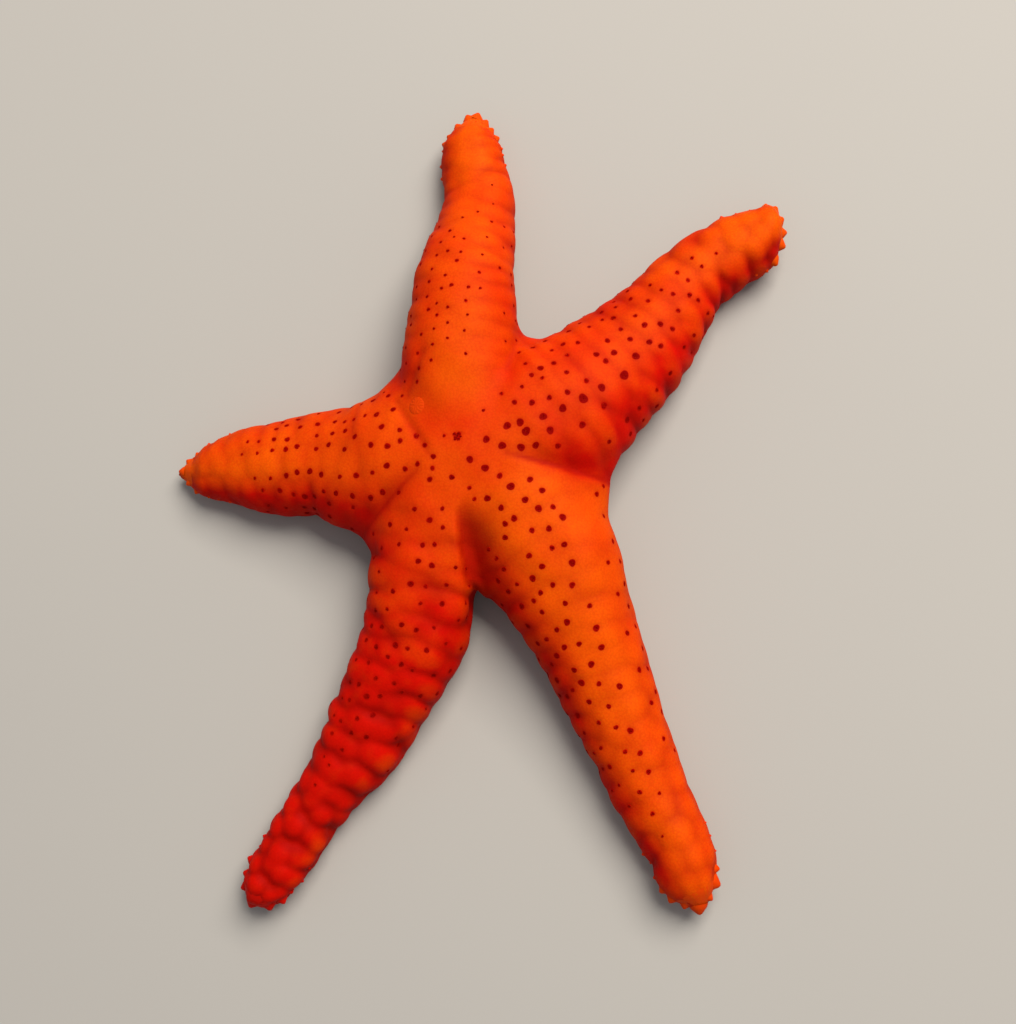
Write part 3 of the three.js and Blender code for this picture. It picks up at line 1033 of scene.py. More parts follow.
    def swell(self, arm: Arm, number: int, share: Array, angle: Array) -> Array:
        """How far the plates swell the skin, below zero in the valleys between them.

        Each plate is a low cushion. Where two cushions meet there is a valley.

        Args:
            arm: The arm.
            number: Its number, which seeds its own irregularity.
            share: Places along it.
            angle: Places round it, in degrees.

        Returns:
            The height in millimetres.
        """
        relief = arm.relief
        rolled = angle - relief.roll
        side = np.abs((rolled + 180) % 360 - 180)
        edge = np.where(rolled > 0, profile(relief.left_edge, share), profile(relief.right_edge, share))
        crown = profile(relief.crown, share)
        across = crown + (edge - crown) * smoothstep(*self.edge_angles, side)
        below = smoothstep(*self.sole_angles, side)
        across = across * (1 - below) + self.oral_swell * below
        between = profile(relief.rows, share) * (1 - (1 - self.oral_rows) * below)
        rng = np.random.default_rng(self.plate_seed + number)
        along = share * arm.reach
        total = np.zeros(len(share))
        slant = 0.0
        for row in range(self.rows):
            slant += rng.normal(0, self.slip)
            place = 0.0
            while place < arm.reach + self.past_tip:
                pitch = float(profile(relief.pitch, np.array(place / arm.reach)))
                turn = (row + rng.normal(0, self.scatter)) * 360 / self.rows
                centre = place + pitch * (slant + rng.normal(0, self.scatter))
                round_it = (rolled - turn + 180) % 360 - 180
                v = 2 * round_it / (360 / self.rows)
                near = np.abs(v) < self.cushion_reach
                u = 2 * (along[near] - centre + self.bow * pitch * v[near] ** 2 / 4) / pitch
                level = np.abs(u) ** self.crest
                level += between[near] / across[near] * np.abs(v[near]) ** self.crest
                total[near] += np.exp((rng.uniform(*self.rise) - level) / self.rounding)
                place += pitch
        height = self.rounding * np.log(total + self.faintest)
        return across * (np.clip(height, *self.height_limits) + self.middle)

    def fold(
        self, crease: Crease, points: Array, normals: Array
    ) -> tuple[Array, Array]:
        """Cuts a crease and paints shade along it.

        Args:
            crease: The crease.
            points: The vertices.
            normals: Their normals.

        Returns:
            How deep it cuts at each vertex, and how much deep red painted shade it puts there.
        """
        inner, outer = np.array(crease.inner), np.array(crease.outer)
        run = outer - inner
        along = ((points[:, :2] - inner) @ run) / (run @ run)
        nearest = inner + np.clip(along, 0, self.fold_past)[:, None] * run
        away = points[:, :2] - nearest
        gap = np.linalg.norm(away, axis=1)
        on_left = run[0] * away[:, 1] - run[1] * away[:, 0] > 0
        reach = np.where(on_left, crease.left, crease.right)
        back = smoothstep(*self.upward, normals[:, 2])
        ramp = smoothstep(*self.fold_start, along) * back
        paint = smoothstep(*self.fold_red_start, along) * back
        slopes = np.exp(-(gap / reach) ** 2)
        # Painted shade: a thin dark line along the fold, and deep red on its slopes.
        line = min(1.0, crease.depth) * np.exp(-(gap / self.fold_line) ** 2)
        return crease.depth * ramp * slopes, paint * np.maximum(line, crease.slope_shade * slopes)

    def build(self) -> SkinForm:
        """Makes the skin with its plates and folds, but without pits.

        Returns:
            The skin's form.
        """
        points, quads, plan_map = self.mesh()
        points, normals = self.relax(points, quads, plan_map)
        _, distances, places = self.measure(points, plan_map)
        near = np.stack(distances)
        weights = np.exp(-(near - near.min(axis=0)) / self.arm_blend)
        weights /= weights.sum(axis=0)
        shares = np.stack([place[0] for place in places])
        angles = np.stack([arm.angle(*place, points[:, 2]) for arm, place in zip(ARMS, places)])
        swell = np.zeros(len(points))
        glow = np.zeros(len(points))
        for number, arm in enumerate(ARMS):
            mine = weights[number] > self.least_weight
            share, angle = shares[number][mine], angles[number][mine]
            swell[mine] += weights[number][mine] * self.swell(arm, number, share, angle)
            # Painted shade on the flanks: each side loses orange by the arm's flank shade pair.
            side = np.abs(angles[number])
            lost = np.where(angles[number] > 0, *arm.flank_shade)
            beside = smoothstep(*self.flank_angles, side)
            beside -= self.flank_back * smoothstep(*self.flank_ends, side)
            flank = 1 - lost * beside
            # The arm's tone is partly painted light; below 0, on the southwest arm, it becomes deep red
            # painted shade through the valley marking.
            glow += weights[number] * profile(arm.tone, shares[number]) * flank
        middle = np.linalg.norm(points[:, :2] - DISC_CENTRE, axis=1)
        swell *= smoothstep(*self.calm_disc, middle)
        glow *= 1 - self.centre_red * np.exp(-(middle / self.centre_reach) ** 2)
        # Orange on the plate crests: partly the plates' own colour, partly painted highlight.
        lit = np.clip(1 + self.crest_fade * glow, 0, 1)
        glow += self.crest_glow * lit * np.clip(swell / self.crest_height, 0, 1)
        folds = np.zeros(len(points))
        lines = np.zeros(len(points))
        # The creases' deep red is painted shade.
        for crease in CREASES:
            cut, line = self.fold(crease, points, normals)
            folds = np.maximum(folds, cut)
            lines = np.maximum(lines, line)
        uneven = sum(height * drift(points, wave, seed) for height, wave, seed in self.unevenness)
        uneven *= smoothstep(*self.uneven_heights, points[:, 2])
        shaped = points + normals * (uneven + swell)[:, None]
        shaped[:, 2] = np.maximum(shaped[:, 2] - folds, 0.0)
        # Deep red in the valleys between plates: partly the skin's own red, partly painted shade. The
        # crease lines, the tone below 0 and the faces that look down add painted shade.
        valley = np.clip(self.valley_start - swell / self.valley_depth, 0, 1)
        valley = valley + lines + np.clip(-glow, 0, 1)
        # Painted shade on faces that look down, above the floor.
        below = smoothstep(*self.sole_normals, normals[:, 2])
        valley += self.sole_shade * (below * smoothstep(*self.sole_heights, points[:, 2]))
        share, wave, seed = self.glow_drift
        return SkinForm(
            shaped, quads, normals, shares, angles, weights,
            np.clip(valley, 0, 1), np.clip(glow + share * drift(points, wave, seed), 0, 1),
            np.zeros(len(points)),
        )


# ---- Where a piece lies on the unwrapped skin ----


@dataclass(frozen=True)
class Unwrap:
    """The skin's unwrap: each arm's hide cut open along its sole and laid flat.

    Five strips lie in a grid of three columns and two rows. Along a strip runs the way
    from the disc's centre to the tip, and across it the angle round the section.
    """

    columns: int = 3
    rows: int = 2
    girth: float = 0.30
    length: float = 0.47
    margin: float = 0.012
    slack: float = 0.01
    longest: float = 106.0

    def place(self, number: int, share: Array, angle: Array) -> Array:
        """The unwrap's coordinates of places on an arm.

        Args:
            number: The arm's number.
            share: Places along it.
            angle: Places round it, in degrees.

        Returns:
            Pairs of coordinates.
        """
        column, row = number % self.columns, number // self.columns
        u = (column + 0.5) / self.columns + np.asarray(angle) / 360 * self.girth
        run = np.asarray(share) * ARMS[number].reach / self.longest
        v = row / self.rows + self.margin + np.clip(run, -self.slack, 1 + self.slack) * self.length
        return np.stack([u, v], axis=-1)


UNWRAP = Unwrap()


class MeshBatch:
    """Many small shapes gathered into one joined mesh."""

    PATCH = 0.0015

    def __init__(self) -> None:
        """Starts empty."""
        self.points: list[Array] = []
        self.faces: list[list[int]] = []
        self.places: list[Array] = []
        self.tones: list[Array] = []
        self.size = 0

    def add(
        self, points: Array, faces: list, place: Array, spread: Array, tone: Array
    ) -> None:
        """Adds one shape, kept clear of the floor.

        Args:
            points: Its vertices in millimetres.
            faces: Its faces.
            place: Where its root lies on the unwrap.
            spread: Each vertex's place in the shape's own patch there, from -1 to 1.
            tone: A value from 0 to 1 at each vertex, for the finish.
        """
        self.points.append(np.maximum(points, [-np.inf, -np.inf, FLOOR_GAP]))
        self.faces.extend([index + self.size for index in face] for face in faces)
        self.places.append(np.asarray(place) + self.PATCH * spread)
        self.tones.append(tone)
        self.size += len(points)

    def build(self, name: str, material: Material, slot: Slot) -> Object:
        """Makes the joined mesh.

        Args:
            name: The piece's name.
            material: Its finish.
            slot: Not used.

        Returns:
            The new piece, riding on the body.
        """
        points = np.concatenate(self.points)
        piece = new_piece(name, points, self.faces, material)
        write_attribute(piece.data, "tone", np.concatenate(self.tones))
        corners = np.array([index for face in self.faces for index in face])
        write_unwrap(piece.data, np.concatenate(self.places)[corners])
        return piece


def new_piece(
    name: str, points: Array, faces: list, material: Material
) -> Object:
    """Makes a smooth-shaded piece that rides on the body.

    Args:
        name: The piece's name.
        points: Its vertices in millimetres.
        faces: Its faces.
        material: Its finish.

    Returns:
        The new piece.
    """
    mesh = bpy.data.meshes.new(name)
    mesh.from_pydata((points * MM).tolist(), [], faces)
    mesh.polygons.foreach_set("use_smooth", np.ones(len(faces), bool))
    mesh.materials.append(material)
    mesh.update()
    piece = bpy.data.objects.new(name, mesh)
    bpy.context.scene.collection.objects.link(piece)
    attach(piece, BODY)
    LOG.info("%s: %d vertices, %d faces", name, len(points), len(faces))
    return piece


def write_attribute(mesh: Mesh, name: str, values: Array) -> None:
    """Stores one number at each vertex under a name."""
    mesh.attributes.new(name, "FLOAT", "POINT").data.foreach_set("value", values.astype(np.float32))


def write_unwrap(mesh: Mesh, corners: Array) -> None:
    """Stores the unwrap's coordinates of every face corner."""
    layer = mesh.uv_layers.new(name=UV_NAME)
    layer.data.foreach_set("uv", corners.astype(np.float32).ravel())


def turned(
    outline: Outline, sides: int
) -> tuple[Array, list[list[int]]]:
    """Turns an outline round the Z axis, closed to a point at its top.

    Args:
        outline: Radius and height, from the open foot to the last ring below the top,
            and then the top itself with a radius of zero.
        sides: How many sides the shape has.

    Returns:
        The vertices and faces.
    """
    angles = np.arange(sides) * math.tau / sides
    rings = [
        np.stack([radius * np.cos(angles), radius * np.sin(angles), np.full(sides, height)], axis=1)
        for radius, height in outline[:-1]
    ]
    points = np.concatenate([*rings, [[0.0, 0.0, outline[-1][1]]]])
    faces = []
    for ring in range(len(rings) - 1):
        for side in range(sides):
            other = (side + 1) % sides
            faces.append([
                ring * sides + side, ring * sides + other,
                (ring + 1) * sides + other, (ring + 1) * sides + side,
            ])
    top = len(points) - 1
    start = (len(rings) - 1) * sides
    faces.extend([start + side, start + (side + 1) % sides, top] for side in range(sides))
    return points, faces


def disc_places(rings: int, sides: int) -> list[Pair]:
    """The places of a disc's points, as disc_faces joins them: how far out, and the turn."""
    counts = [(ring, side) for ring in range(1, rings + 1) for side in range(sides)]
    return [(0.0, 0.0), *((ring / rings, math.tau * side / sides) for ring, side in counts)]


def disc_faces(rings: int, sides: int, downward: bool = False) -> list[list[int]]:
    """Joins a middle point and the rings round it to a disc.

    Args:
        rings: How many rings there are.
        sides: How many points each ring has.
        downward: Whether the faces look down.

    Returns:
        The faces, for points that start with the middle and go on ring by ring.
    """
    faces = [[0, 1 + side, 1 + (side + 1) % sides] for side in range(sides)]
    for ring in range(rings - 1):
        for side in range(sides):
            a = 1 + ring * sides + side
            b = 1 + ring * sides + (side + 1) % sides
            faces.append([a, a + sides, b + sides, b])
    return [face[:1] + face[:0:-1] for face in faces] if downward else faces


def stood(points: Array, root: Array, up: Array, heading: Array) -> Array:
    """Stands a shape made round the Z axis on a place.

    Args:
        points: The shape.
        root: Where its origin goes.
        up: Where its Z axis points.
        heading: Roughly where its X axis points.

    Returns:
        The moved points.
    """
    up = up / np.linalg.norm(up)
    ahead = heading - up * (heading @ up)
    ahead = ahead / np.linalg.norm(ahead)
    return root + points @ np.stack([ahead, np.cross(up, ahead), up])


class Ground:
    """The finished skin, as the ground that small pieces stand on."""

    REACH = 6.0
    HIGH = 60.0
    FOOT_START = 1.7

    def __init__(self, form: SkinForm) -> None:
        """Takes the skin's form."""
        self.tree = form.tree()

    def cast(self, start: Array, heading: Array) -> tuple[Array, Array] | None:
        """Casts a ray at the skin.

        Args:
            start: Where the ray starts.
            heading: Where it goes.

        Returns:
            The place where it meets the skin and the normal there, if it does.
        """
        spot, normal, _, _ = self.tree.ray_cast(Vector(start), Vector(heading))
        if spot is None:
            return None
        return np.array(spot), np.array(normal)

    def top(self, x: float, y: float) -> tuple[Array, Array] | None:
        """The highest place on the skin over a point in plan, and the normal there."""
        return self.cast(np.array([x, y, self.HIGH]), DOWN)

    def foot(self, arm: Arm, along: float, angle: float) -> tuple[Array, Array] | None:
        """A place on an arm's skin.

        Args:
            arm: The arm.
            along: Millimetres from the disc's centre.
            angle: Degrees to the left of the crest.

        Returns:
            The place and the normal, if there is skin there.
        """
        t = np.array(along / arm.reach)
        width, waist, rise, drop = (float(value) for value in arm.section(t))
        axis, run = arm.axis(t), arm.tangent(t)
        turn = math.radians(angle)
        height = math.cos(turn) * (rise if math.cos(turn) > 0 else drop)
        out = np.array([*(np.array([-run[1], run[0]]) * math.sin(turn) * width), height])
        middle = np.array([*axis, waist])
        return self.cast(middle + self.FOOT_START * out, -out / np.linalg.norm(out))

    def drape(self, points: Array, up: Array, lift: Array) -> Array:
        """Lays points down on the skin.

        Args:
            points: The points, near the skin.
            up: The way up from the skin.
            lift: How far above the skin each point ends.

        Returns:
            The moved points.
        """
        laid = []
        for point, rise in zip(points, lift):
            found = self.tree.ray_cast(Vector(point + up * self.REACH / 2), Vector(-up), self.REACH)[0]
            base = point if found is None else np.array(found)
            laid.append(base + up * rise)
        return np.array(laid)


# ---- Finishes ----

# How strongly flesh and thin lime bend light.
FLESH_IOR = 1.4


def wavering_mix(
    tree: NodeTree, share: NodeSocket, noise: Node, waver: float, first: str, second: str
) -> NodeSocket:
    """Mixes two colours by a share that a noise makes waver.

    Args:
        tree: The material's tree.
        share: The share.
        noise: The noise.
        waver: How far it moves the share.
        first: The colour where the share is 0.
        second: The colour where it is 1.

    Returns:
        The colour.
    """
    wavering = add_node(
        tree, "Math", {0: noise.outputs["Fac"], 1: waver, 2: -waver / 2}, operation="MULTIPLY_ADD"
    )
    total = add_node(tree, "Math", {0: share, 1: wavering.outputs[0]}, operation="ADD", use_clamp=True)
    colours = {"Factor": total.outputs[0], "A": linear(first), "B": linear(second)}
    return add_node(tree, "Mix", colours, data_type="RGBA").outputs["Result"]


@dataclass(frozen=True)
class GranulatedSkin:
    """Living skin over limy plates, set all over with fine granules.

    The granules break the light up so that it looks matt and soft. It is orange where it
    is stretched over a plate, and deep red in the valleys and around the pores. The orange and
    the deep red follow the glow and valley markings, which carry painted highlight on the
    crests and painted shade on flanks, creases and undersides, besides the skin's own colour.
    Granules are about 0.3 mm across and are drawn at 0.45 mm, so that they show.
    """

    name: str = "granulated_skin"
    body: str = "#B80A00"
    orange: str = "#CE4A00"
    # Deep red for the valley marking, partly painted shade, and for the granules' gaps.
    deep: str = "#8A0400"
    pore: str = "#6E0200"
    granule_mm: float = 0.45
    granule_depth_mm: float = 0.06
    granule_strength: float = 0.35
    granule_gap: Pair = (0.35, 0.75)
    gap_share: float = 0.16
    mottle_mm: float = 3.2
    mottle_share: float = 0.34
    valley_share: float = 0.8
    halo_share: float = 0.5
    roughness: float = 0.62
    specular: float = 0.045
    subsurface: float = 0.12
    bleed: Triple = (1.0, 0.16, 0.05)
    bleed_mm: float = 1.1

    def build(self) -> Material:
        """Makes the material from the skin's three markings.

        Returns:
            The material.
        """
        material = empty_material(self.name)
        tree = material.node_tree
        place = add_node(tree, "TexCoord").outputs["Object"]
        glow, valley, halo = (
            add_node(tree, "Attribute", attribute_name=name).outputs["Fac"]
            for name in ("glow", "valley", "halo")
        )
        mottle = add_node(
            tree, "TexNoise",
            {"Vector": place, "Scale": 1 / (self.mottle_mm * MM), "Detail": 3.0},
        )
        colour = wavering_mix(tree, glow, mottle, self.mottle_share, self.body, self.orange)
        # The valley marking mixes in the deep red: partly the skin's own red, partly painted shade.
        valleys = add_node(tree, "Math", {0: valley, 1: self.valley_share}, operation="MULTIPLY")
        halos = add_node(tree, "Math", {0: halo, 1: self.halo_share}, operation="MULTIPLY")
        granules = add_node(
            tree, "TexVoronoi", {"Vector": place, "Scale": 1 / (self.granule_mm * MM)}
        )
        inner, outer = self.granule_gap
        gaps = add_node(tree, "MapRange", {
            "Value": granules.outputs["Distance"],
            "From Min": inner,
            "From Max": outer,
            "To Max": self.gap_share,
        })
        for strength, tint in ((valleys, self.deep), (halos, self.pore), (gaps, self.deep)):
            layers = {"Factor": strength.outputs[0], "A": colour, "B": linear(tint)}
            colour = add_node(tree, "Mix", layers, data_type="RGBA").outputs["Result"]
        bump = add_node(tree, "Bump", {
            "Height": granules.outputs["Distance"],
            "Strength": self.granule_strength,
            "Distance": self.granule_depth_mm * MM,
        }, invert=True)
        shader = add_node(tree, "BsdfPrincipled", {
            "Base Color": colour,
            "Roughness": self.roughness,
            "IOR": FLESH_IOR,
            "Specular IOR Level": self.specular,
            "Subsurface Weight": self.subsurface,
            "Subsurface Radius": self.bleed,
            "Subsurface Scale": self.bleed_mm * MM,
            "Normal": bump.outputs["Normal"],
        })
        add_node(tree, "OutputMaterial", {"Surface": shader.outputs[0]})
        return material


@dataclass(frozen=True)
class SmallPartFinish:
    """The finish of one kind of small part.

    Its colour goes from the first where the shape's tone is 0 to the second where it is
    1, with a fine grain over both, and its gloss says how wet or limy it looks.
    """

    name: str
    first: str
    second: str
    roughness: float
    grain_mm: float
    grain_depth_mm: float
    subsurface: float = 0.0
    specular: float = 0.06
    coat: float = 0.0
    grain_share: float = 0.3
    grain_strength: float = 0.5
    bleed: Triple = (1.0, 0.3, 0.15)
    bleed_mm: float = 0.6

    def build(self) -> Material:
        """Makes the material.

        Returns:
            The material.
        """
        material = empty_material(self.name)
        tree = material.node_tree
        place = add_node(tree, "TexCoord").outputs["Object"]
        tone = add_node(tree, "Attribute", attribute_name="tone").outputs["Fac"]
        grain = add_node(
            tree, "TexNoise",
            {"Vector": place, "Scale": 1 / (self.grain_mm * MM), "Detail": 2.0},
        )
        bump = add_node(tree, "Bump", {
            "Height": grain.outputs["Fac"],
            "Strength": self.grain_strength,
            "Distance": self.grain_depth_mm * MM,
        })
        shader = add_node(tree, "BsdfPrincipled", {
            "Base Color": wavering_mix(tree, tone, grain, self.grain_share, self.first, self.second),
            "Roughness": self.roughness,
            "IOR": FLESH_IOR,
            "Specular IOR Level": self.specular,
            "Subsurface Weight": self.subsurface,
            "Subsurface Radius": self.bleed,
            "Subsurface Scale": self.bleed_mm * MM,
            "Coat Weight": self.coat,
            "Normal": bump.outputs["Normal"],
        })
        add_node(tree, "OutputMaterial", {"Surface": shader.outputs[0]})
        return material


# Thin wet gills drawn in to a knot: dark red in the middle, the skin's own red at the rim.
PORE_FLESH = SmallPartFinish("pore_flesh", "#740100", "#B41000", 0.6, 0.35, 0.03, 0.0, 0.02)
# Bare limestone plate under thin skin: a touch paler and more orange than the skin.
LIMY_PLATE = SmallPartFinish("limy_plate", "#B80A00", "#CE4A00", 0.6, 0.5, 0.04, 0.1)
# The sieve plate's porous stone: red in its channels, orange on its ridges.
SIEVE_STONE = SmallPartFinish("sieve_stone", "#B42600", "#C03800", 0.7, 0.3, 0.03)
# Tube feet: clear, wet flesh, amber with paler suckers.
WET_FLESH = SmallPartFinish("wet_tube_flesh", "#E8702A", "#F6C48A", 0.35, 0.8, 0.03, 0.35, 0.3, 0.3)
# Furrow spines: blunt limy rods, orange at the root and pale at the end.
SPINE_LIME = SmallPartFinish("spine_lime", "#E85A1C", "#F8B070", 0.5, 0.5, 0.03, 0.15, 0.2)


# ---- Pieces ----


@dataclass(frozen=True)
class Pore:
    """One pore area: where it lies, which way is up, how wide it is, and its arm."""

    spot: Array
    normal: Array
    heading: Array
    radius: float
    number: int
    share: float
    angle: float


@dataclass(frozen=True)
class PoreAreas:
    """The pore areas: soft dark red spots in lengthwise rows, each with a knot of gills.

    Rings, lifts and tones go from near the middle of a spot to its rim. Waning is the
    shares of the reach between which the spots grow smaller and fainter.
    """

    place_seed: int = 11
    shape_seed: int = 200
    rim_sides: int = 20
    rings: tuple[float, ...] = (0.35, 0.7, 0.95, 1.08, 1.22)
    lifts: tuple[float, ...] = (0.03, 0.03, 0.03, 0.02, -0.1)
    tones: tuple[float, ...] = (0.0, 0.0, 0.05, 0.55, 1.0)
    gill_radius: float = 0.13
    gill_height: float = 0.16
    gill_sides: int = 6
    gill_sizes: Pair = (0.8, 1.2)
    gill_tones: Pair = (0.0, 0.16)
    gill_outline: Outline = (
        (1.0, -0.3), (0.95, 0.45), (0.6, 0.85), (0.0, 1.0),
    )
    gill_turn: float = 2.4
    gill_stray: float = 0.3
    gill_spread: float = 0.72
    gill_first: float = 0.4
    gill_patch: float = 0.1
    many_gills: int = 7
    few_gills: int = 4
    wide: float = 0.5
    wobbles: Pair = (0.07, 0.05)
    pit_depth: float = 0.16
    pit_reach: float = 3.0
    halo_width: float = 1.2
    arc_sizes: Pair = (0.85, 1.12)
    row_sizes: Pair = (0.78, 1.2)
    disc_degrees: float = 6.0
    along_jitter: float = 0.35
    angle_jitter: float = 1.9
    place_jitter: float = 0.28
    skipped: float = 0.05
    apart: float = 2.1
    faintness: float = 0.9
    faint_sizes: Pair = (0.4, 1.4)
    full_radius: float = 0.8
    dwindle: float = 0.45
    fading: float = 0.3
    waning: Pair = (0.5, 0.9)
    steepest: float = -0.2
    sieve_gap: float = 3.4

    def lay_out(self, ground: Ground) -> list[Pore]:
        """Finds a place on the skin for every pore area.

        Args:
            ground: The skin to set them on.

        Returns:
            The pore areas.
        """
        rng = np.random.default_rng(self.place_seed)
        found: list[Pore] = []
        for arc in ARCS:
            for share in np.linspace(0, 1, arc.count):
                plan = arc.plan(share) + rng.normal(0, self.place_jitter, 2)
                t, left = (float(value[0]) for value in ARMS[arc.arm].locate(plan[None]))
                radius = arc.spot / 2 * rng.uniform(*self.arc_sizes)
                self.keep(found, ground.top(*plan), arc.arm, t, self.disc_degrees * left, radius)
        for number, arm in enumerate(ARMS):
            for series in arm.pores:
                count = max(2, round((series.end - series.start) / series.pitch) + 1)
                for share in np.linspace(0, 1, count):
                    along = series.start + (series.end - series.start) * share
                    along += rng.normal(0, self.along_jitter)
                    angle = series.angle_in + (series.angle_out - series.angle_in) * share
                    angle += rng.normal(0, self.angle_jitter)
                    radius = series.spot / 2 * rng.uniform(*self.row_sizes)
                    radius *= 1 - self.dwindle * smoothstep(*self.waning, along / arm.reach)
                    if rng.uniform() > self.skipped:
                        hit = ground.foot(arm, along, angle)
                        self.keep(found, hit, number, along / arm.reach, angle, radius)
        return found

    def keep(
        self, found: list[Pore], hit: tuple | None, number: int,
        share: float, angle: float, radius: float,
    ) -> None:
        """Adds a pore area, unless it has no ground or lies too near another one.

        Args:
            found: The pore areas so far, which it is added to.
            hit: Its place and normal.
            number: Its arm's number.
            share: Its place along the arm.
            angle: Its place round the arm, in degrees.
            radius: Its radius.
        """
        if hit is None or any(np.linalg.norm(other.spot - hit[0]) < self.apart for other in found):
            return
        if np.linalg.norm(hit[0][:2] - SIEVE_PLACE) < self.sieve_gap or hit[1][2] < self.steepest:
            return
        heading = np.array([*ARMS[number].tangent(np.array(share)), 0.0])
        found.append(Pore(hit[0], hit[1], heading, radius, number, share, angle))

    def sink(self, form: SkinForm, pores: list[Pore]) -> None:
        """Presses a shallow pit into the skin under every pore area, and reddens it.

        Args:
            form: The skin's form, which is changed.
            pores: The pore areas.
        """
        for pore in pores:
            reach = self.pit_reach * pore.radius
            near = np.flatnonzero(np.abs(form.points - pore.spot).max(axis=1) < reach)
            gap = np.linalg.norm(form.points[near] - pore.spot, axis=1) / pore.radius
            form.points[near] -= form.normals[near] * (self.pit_depth * np.exp(-gap ** 2))[:, None]
            form.halo[near] = np.maximum(form.halo[near], np.exp(-(gap / self.halo_width) ** 2))

    def patch(self, ground: Ground, pore: Pore, rng: np.random.Generator) -> tuple:
        """Makes one pore area's spot.

        Args:
            ground: The skin.
            pore: The pore area.
            rng: The random numbers to use.

        Returns:
            The vertices, faces, places in the patch and tones.
        """
        angles = np.arange(self.rim_sides) * math.tau / self.rim_sides
        wobble = 1 + self.wobbles[0] * np.sin(2 * angles + rng.uniform(0, math.tau))
        wobble += self.wobbles[1] * np.sin(3 * angles + rng.uniform(0, math.tau))
        flat = [np.zeros((1, 2))]
        for ring in self.rings:
            flat.append(np.stack([np.cos(angles), np.sin(angles)], axis=1) * (ring * wobble)[:, None])
        local = np.concatenate(flat)
        points = np.concatenate([local * pore.radius, np.zeros((len(local), 1))], axis=1)
        placed = stood(points, pore.spot, pore.normal, pore.heading)
        counts = [1] + [self.rim_sides] * len(self.rings)
        lift = np.repeat([0.0, *self.lifts], counts)
        faint = self.faintness * max(0.0, self.full_radius - pore.radius)
        faint *= rng.uniform(*self.faint_sizes)
        faint += self.fading * smoothstep(*self.waning, pore.share)
        tone = np.minimum(1.0, np.repeat([0.0, *self.tones], counts) + faint)
        faces = disc_faces(len(self.rings), self.rim_sides)
        return ground.drape(placed, pore.normal, lift), faces, local, tone

    def gills(self, pore: Pore, rng: np.random.Generator) -> list[Pair]:
        """Spreads gills over a pore area, in a loose spiral.

        Args:
            pore: The pore area.
            rng: The random numbers to use.

        Returns:
            Where they stand, as shares of its radius.
        """
        count = self.many_gills if pore.radius > self.wide else self.few_gills
        spots = []
        for index in range(count):
            turn = index * self.gill_turn + rng.uniform(-self.gill_stray, self.gill_stray)
            out = self.gill_spread * math.sqrt((index + self.gill_first) / count)
            spots.append((out * math.cos(turn), out * math.sin(turn)))
        return spots

    def build(self, ground: Ground, pores: list[Pore], material: Material) -> None:
        """Makes the pore areas, one joined piece for each arm.

        Args:
            ground: The finished skin.
            pores: The pore areas.
            material: Their finish.
        """
        knob, knob_faces = turned(self.gill_outline, self.gill_sides)
        size = np.array([self.gill_radius, self.gill_radius, self.gill_height])
        for number, arm in enumerate(ARMS):
            rng = np.random.default_rng(self.shape_seed + number)
            batch = MeshBatch()
            for pore in (pore for pore in pores if pore.number == number):
                place = UNWRAP.place(number, pore.share, pore.angle)
                points, faces, local, tone = self.patch(ground, pore, rng)
                batch.add(points, faces, place, np.clip(local, -1, 1), tone)
                for x, y in self.gills(pore, rng):
                    local = np.array([[x, y, 0.0]]) * pore.radius
                    root = stood(local, pore.spot, pore.normal, pore.heading)
                    root = ground.drape(root, pore.normal, np.zeros(1))[0]
                    shape = knob * size * rng.uniform(*self.gill_sizes)
                    points = stood(shape, root, pore.normal, pore.heading)
                    spread = np.tile([x, y], (len(knob), 1)) + self.gill_patch * knob[:, :2]
                    tone = np.full(len(knob), rng.uniform(*self.gill_tones))
                    batch.add(points, knob_faces, place, spread, tone)
            batch.build(f"{arm.name}_pore_areas", material, Slot.PORES)


@dataclass(frozen=True)
class Skin:
    """The one skin over the disc and the arms."""

    name: str = "skin"

    def build(self, form: SkinForm, material: Material) -> Object:
        """Makes the skin from its form.

        Args:
            form: The skin's final form.
            material: Its finish.

        Returns:
            The skin, standing for the disc and every length of arm.
        """
        piece = new_piece(self.name, form.points, form.quads.tolist(), material)
        for name in ("valley", "glow", "halo"):
            write_attribute(piece.data, name, getattr(form, name))
        write_unwrap(piece.data, self.corners(form))
        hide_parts("disc")
        for arm in ARMS:
            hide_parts(*(f"{arm.name}_arm_{part}" for part in ("base", "middle", "tip")))
        return piece

    def corners(self, form: SkinForm) -> Array:
        """Lays the skin's faces on the unwrap, each one whole in one arm's strip.

        Args:
            form: The skin's form.

        Returns:
            Every face corner's place on the unwrap.
        """
        belongs = form.weights[:, form.quads].mean(axis=2).argmax(axis=0)
        result = np.empty((len(form.quads), 4, 2))
        for number in range(len(ARMS)):
            mine = belongs == number
            share = form.shares[number][form.quads[mine]]
            angle = form.angles[number][form.quads[mine]]
            first = angle[:, :1]
            angle = first + (angle - first + 180) % 360 - 180
            result[mine] = UNWRAP.place(number, share, angle)
        return result.reshape(-1, 2)


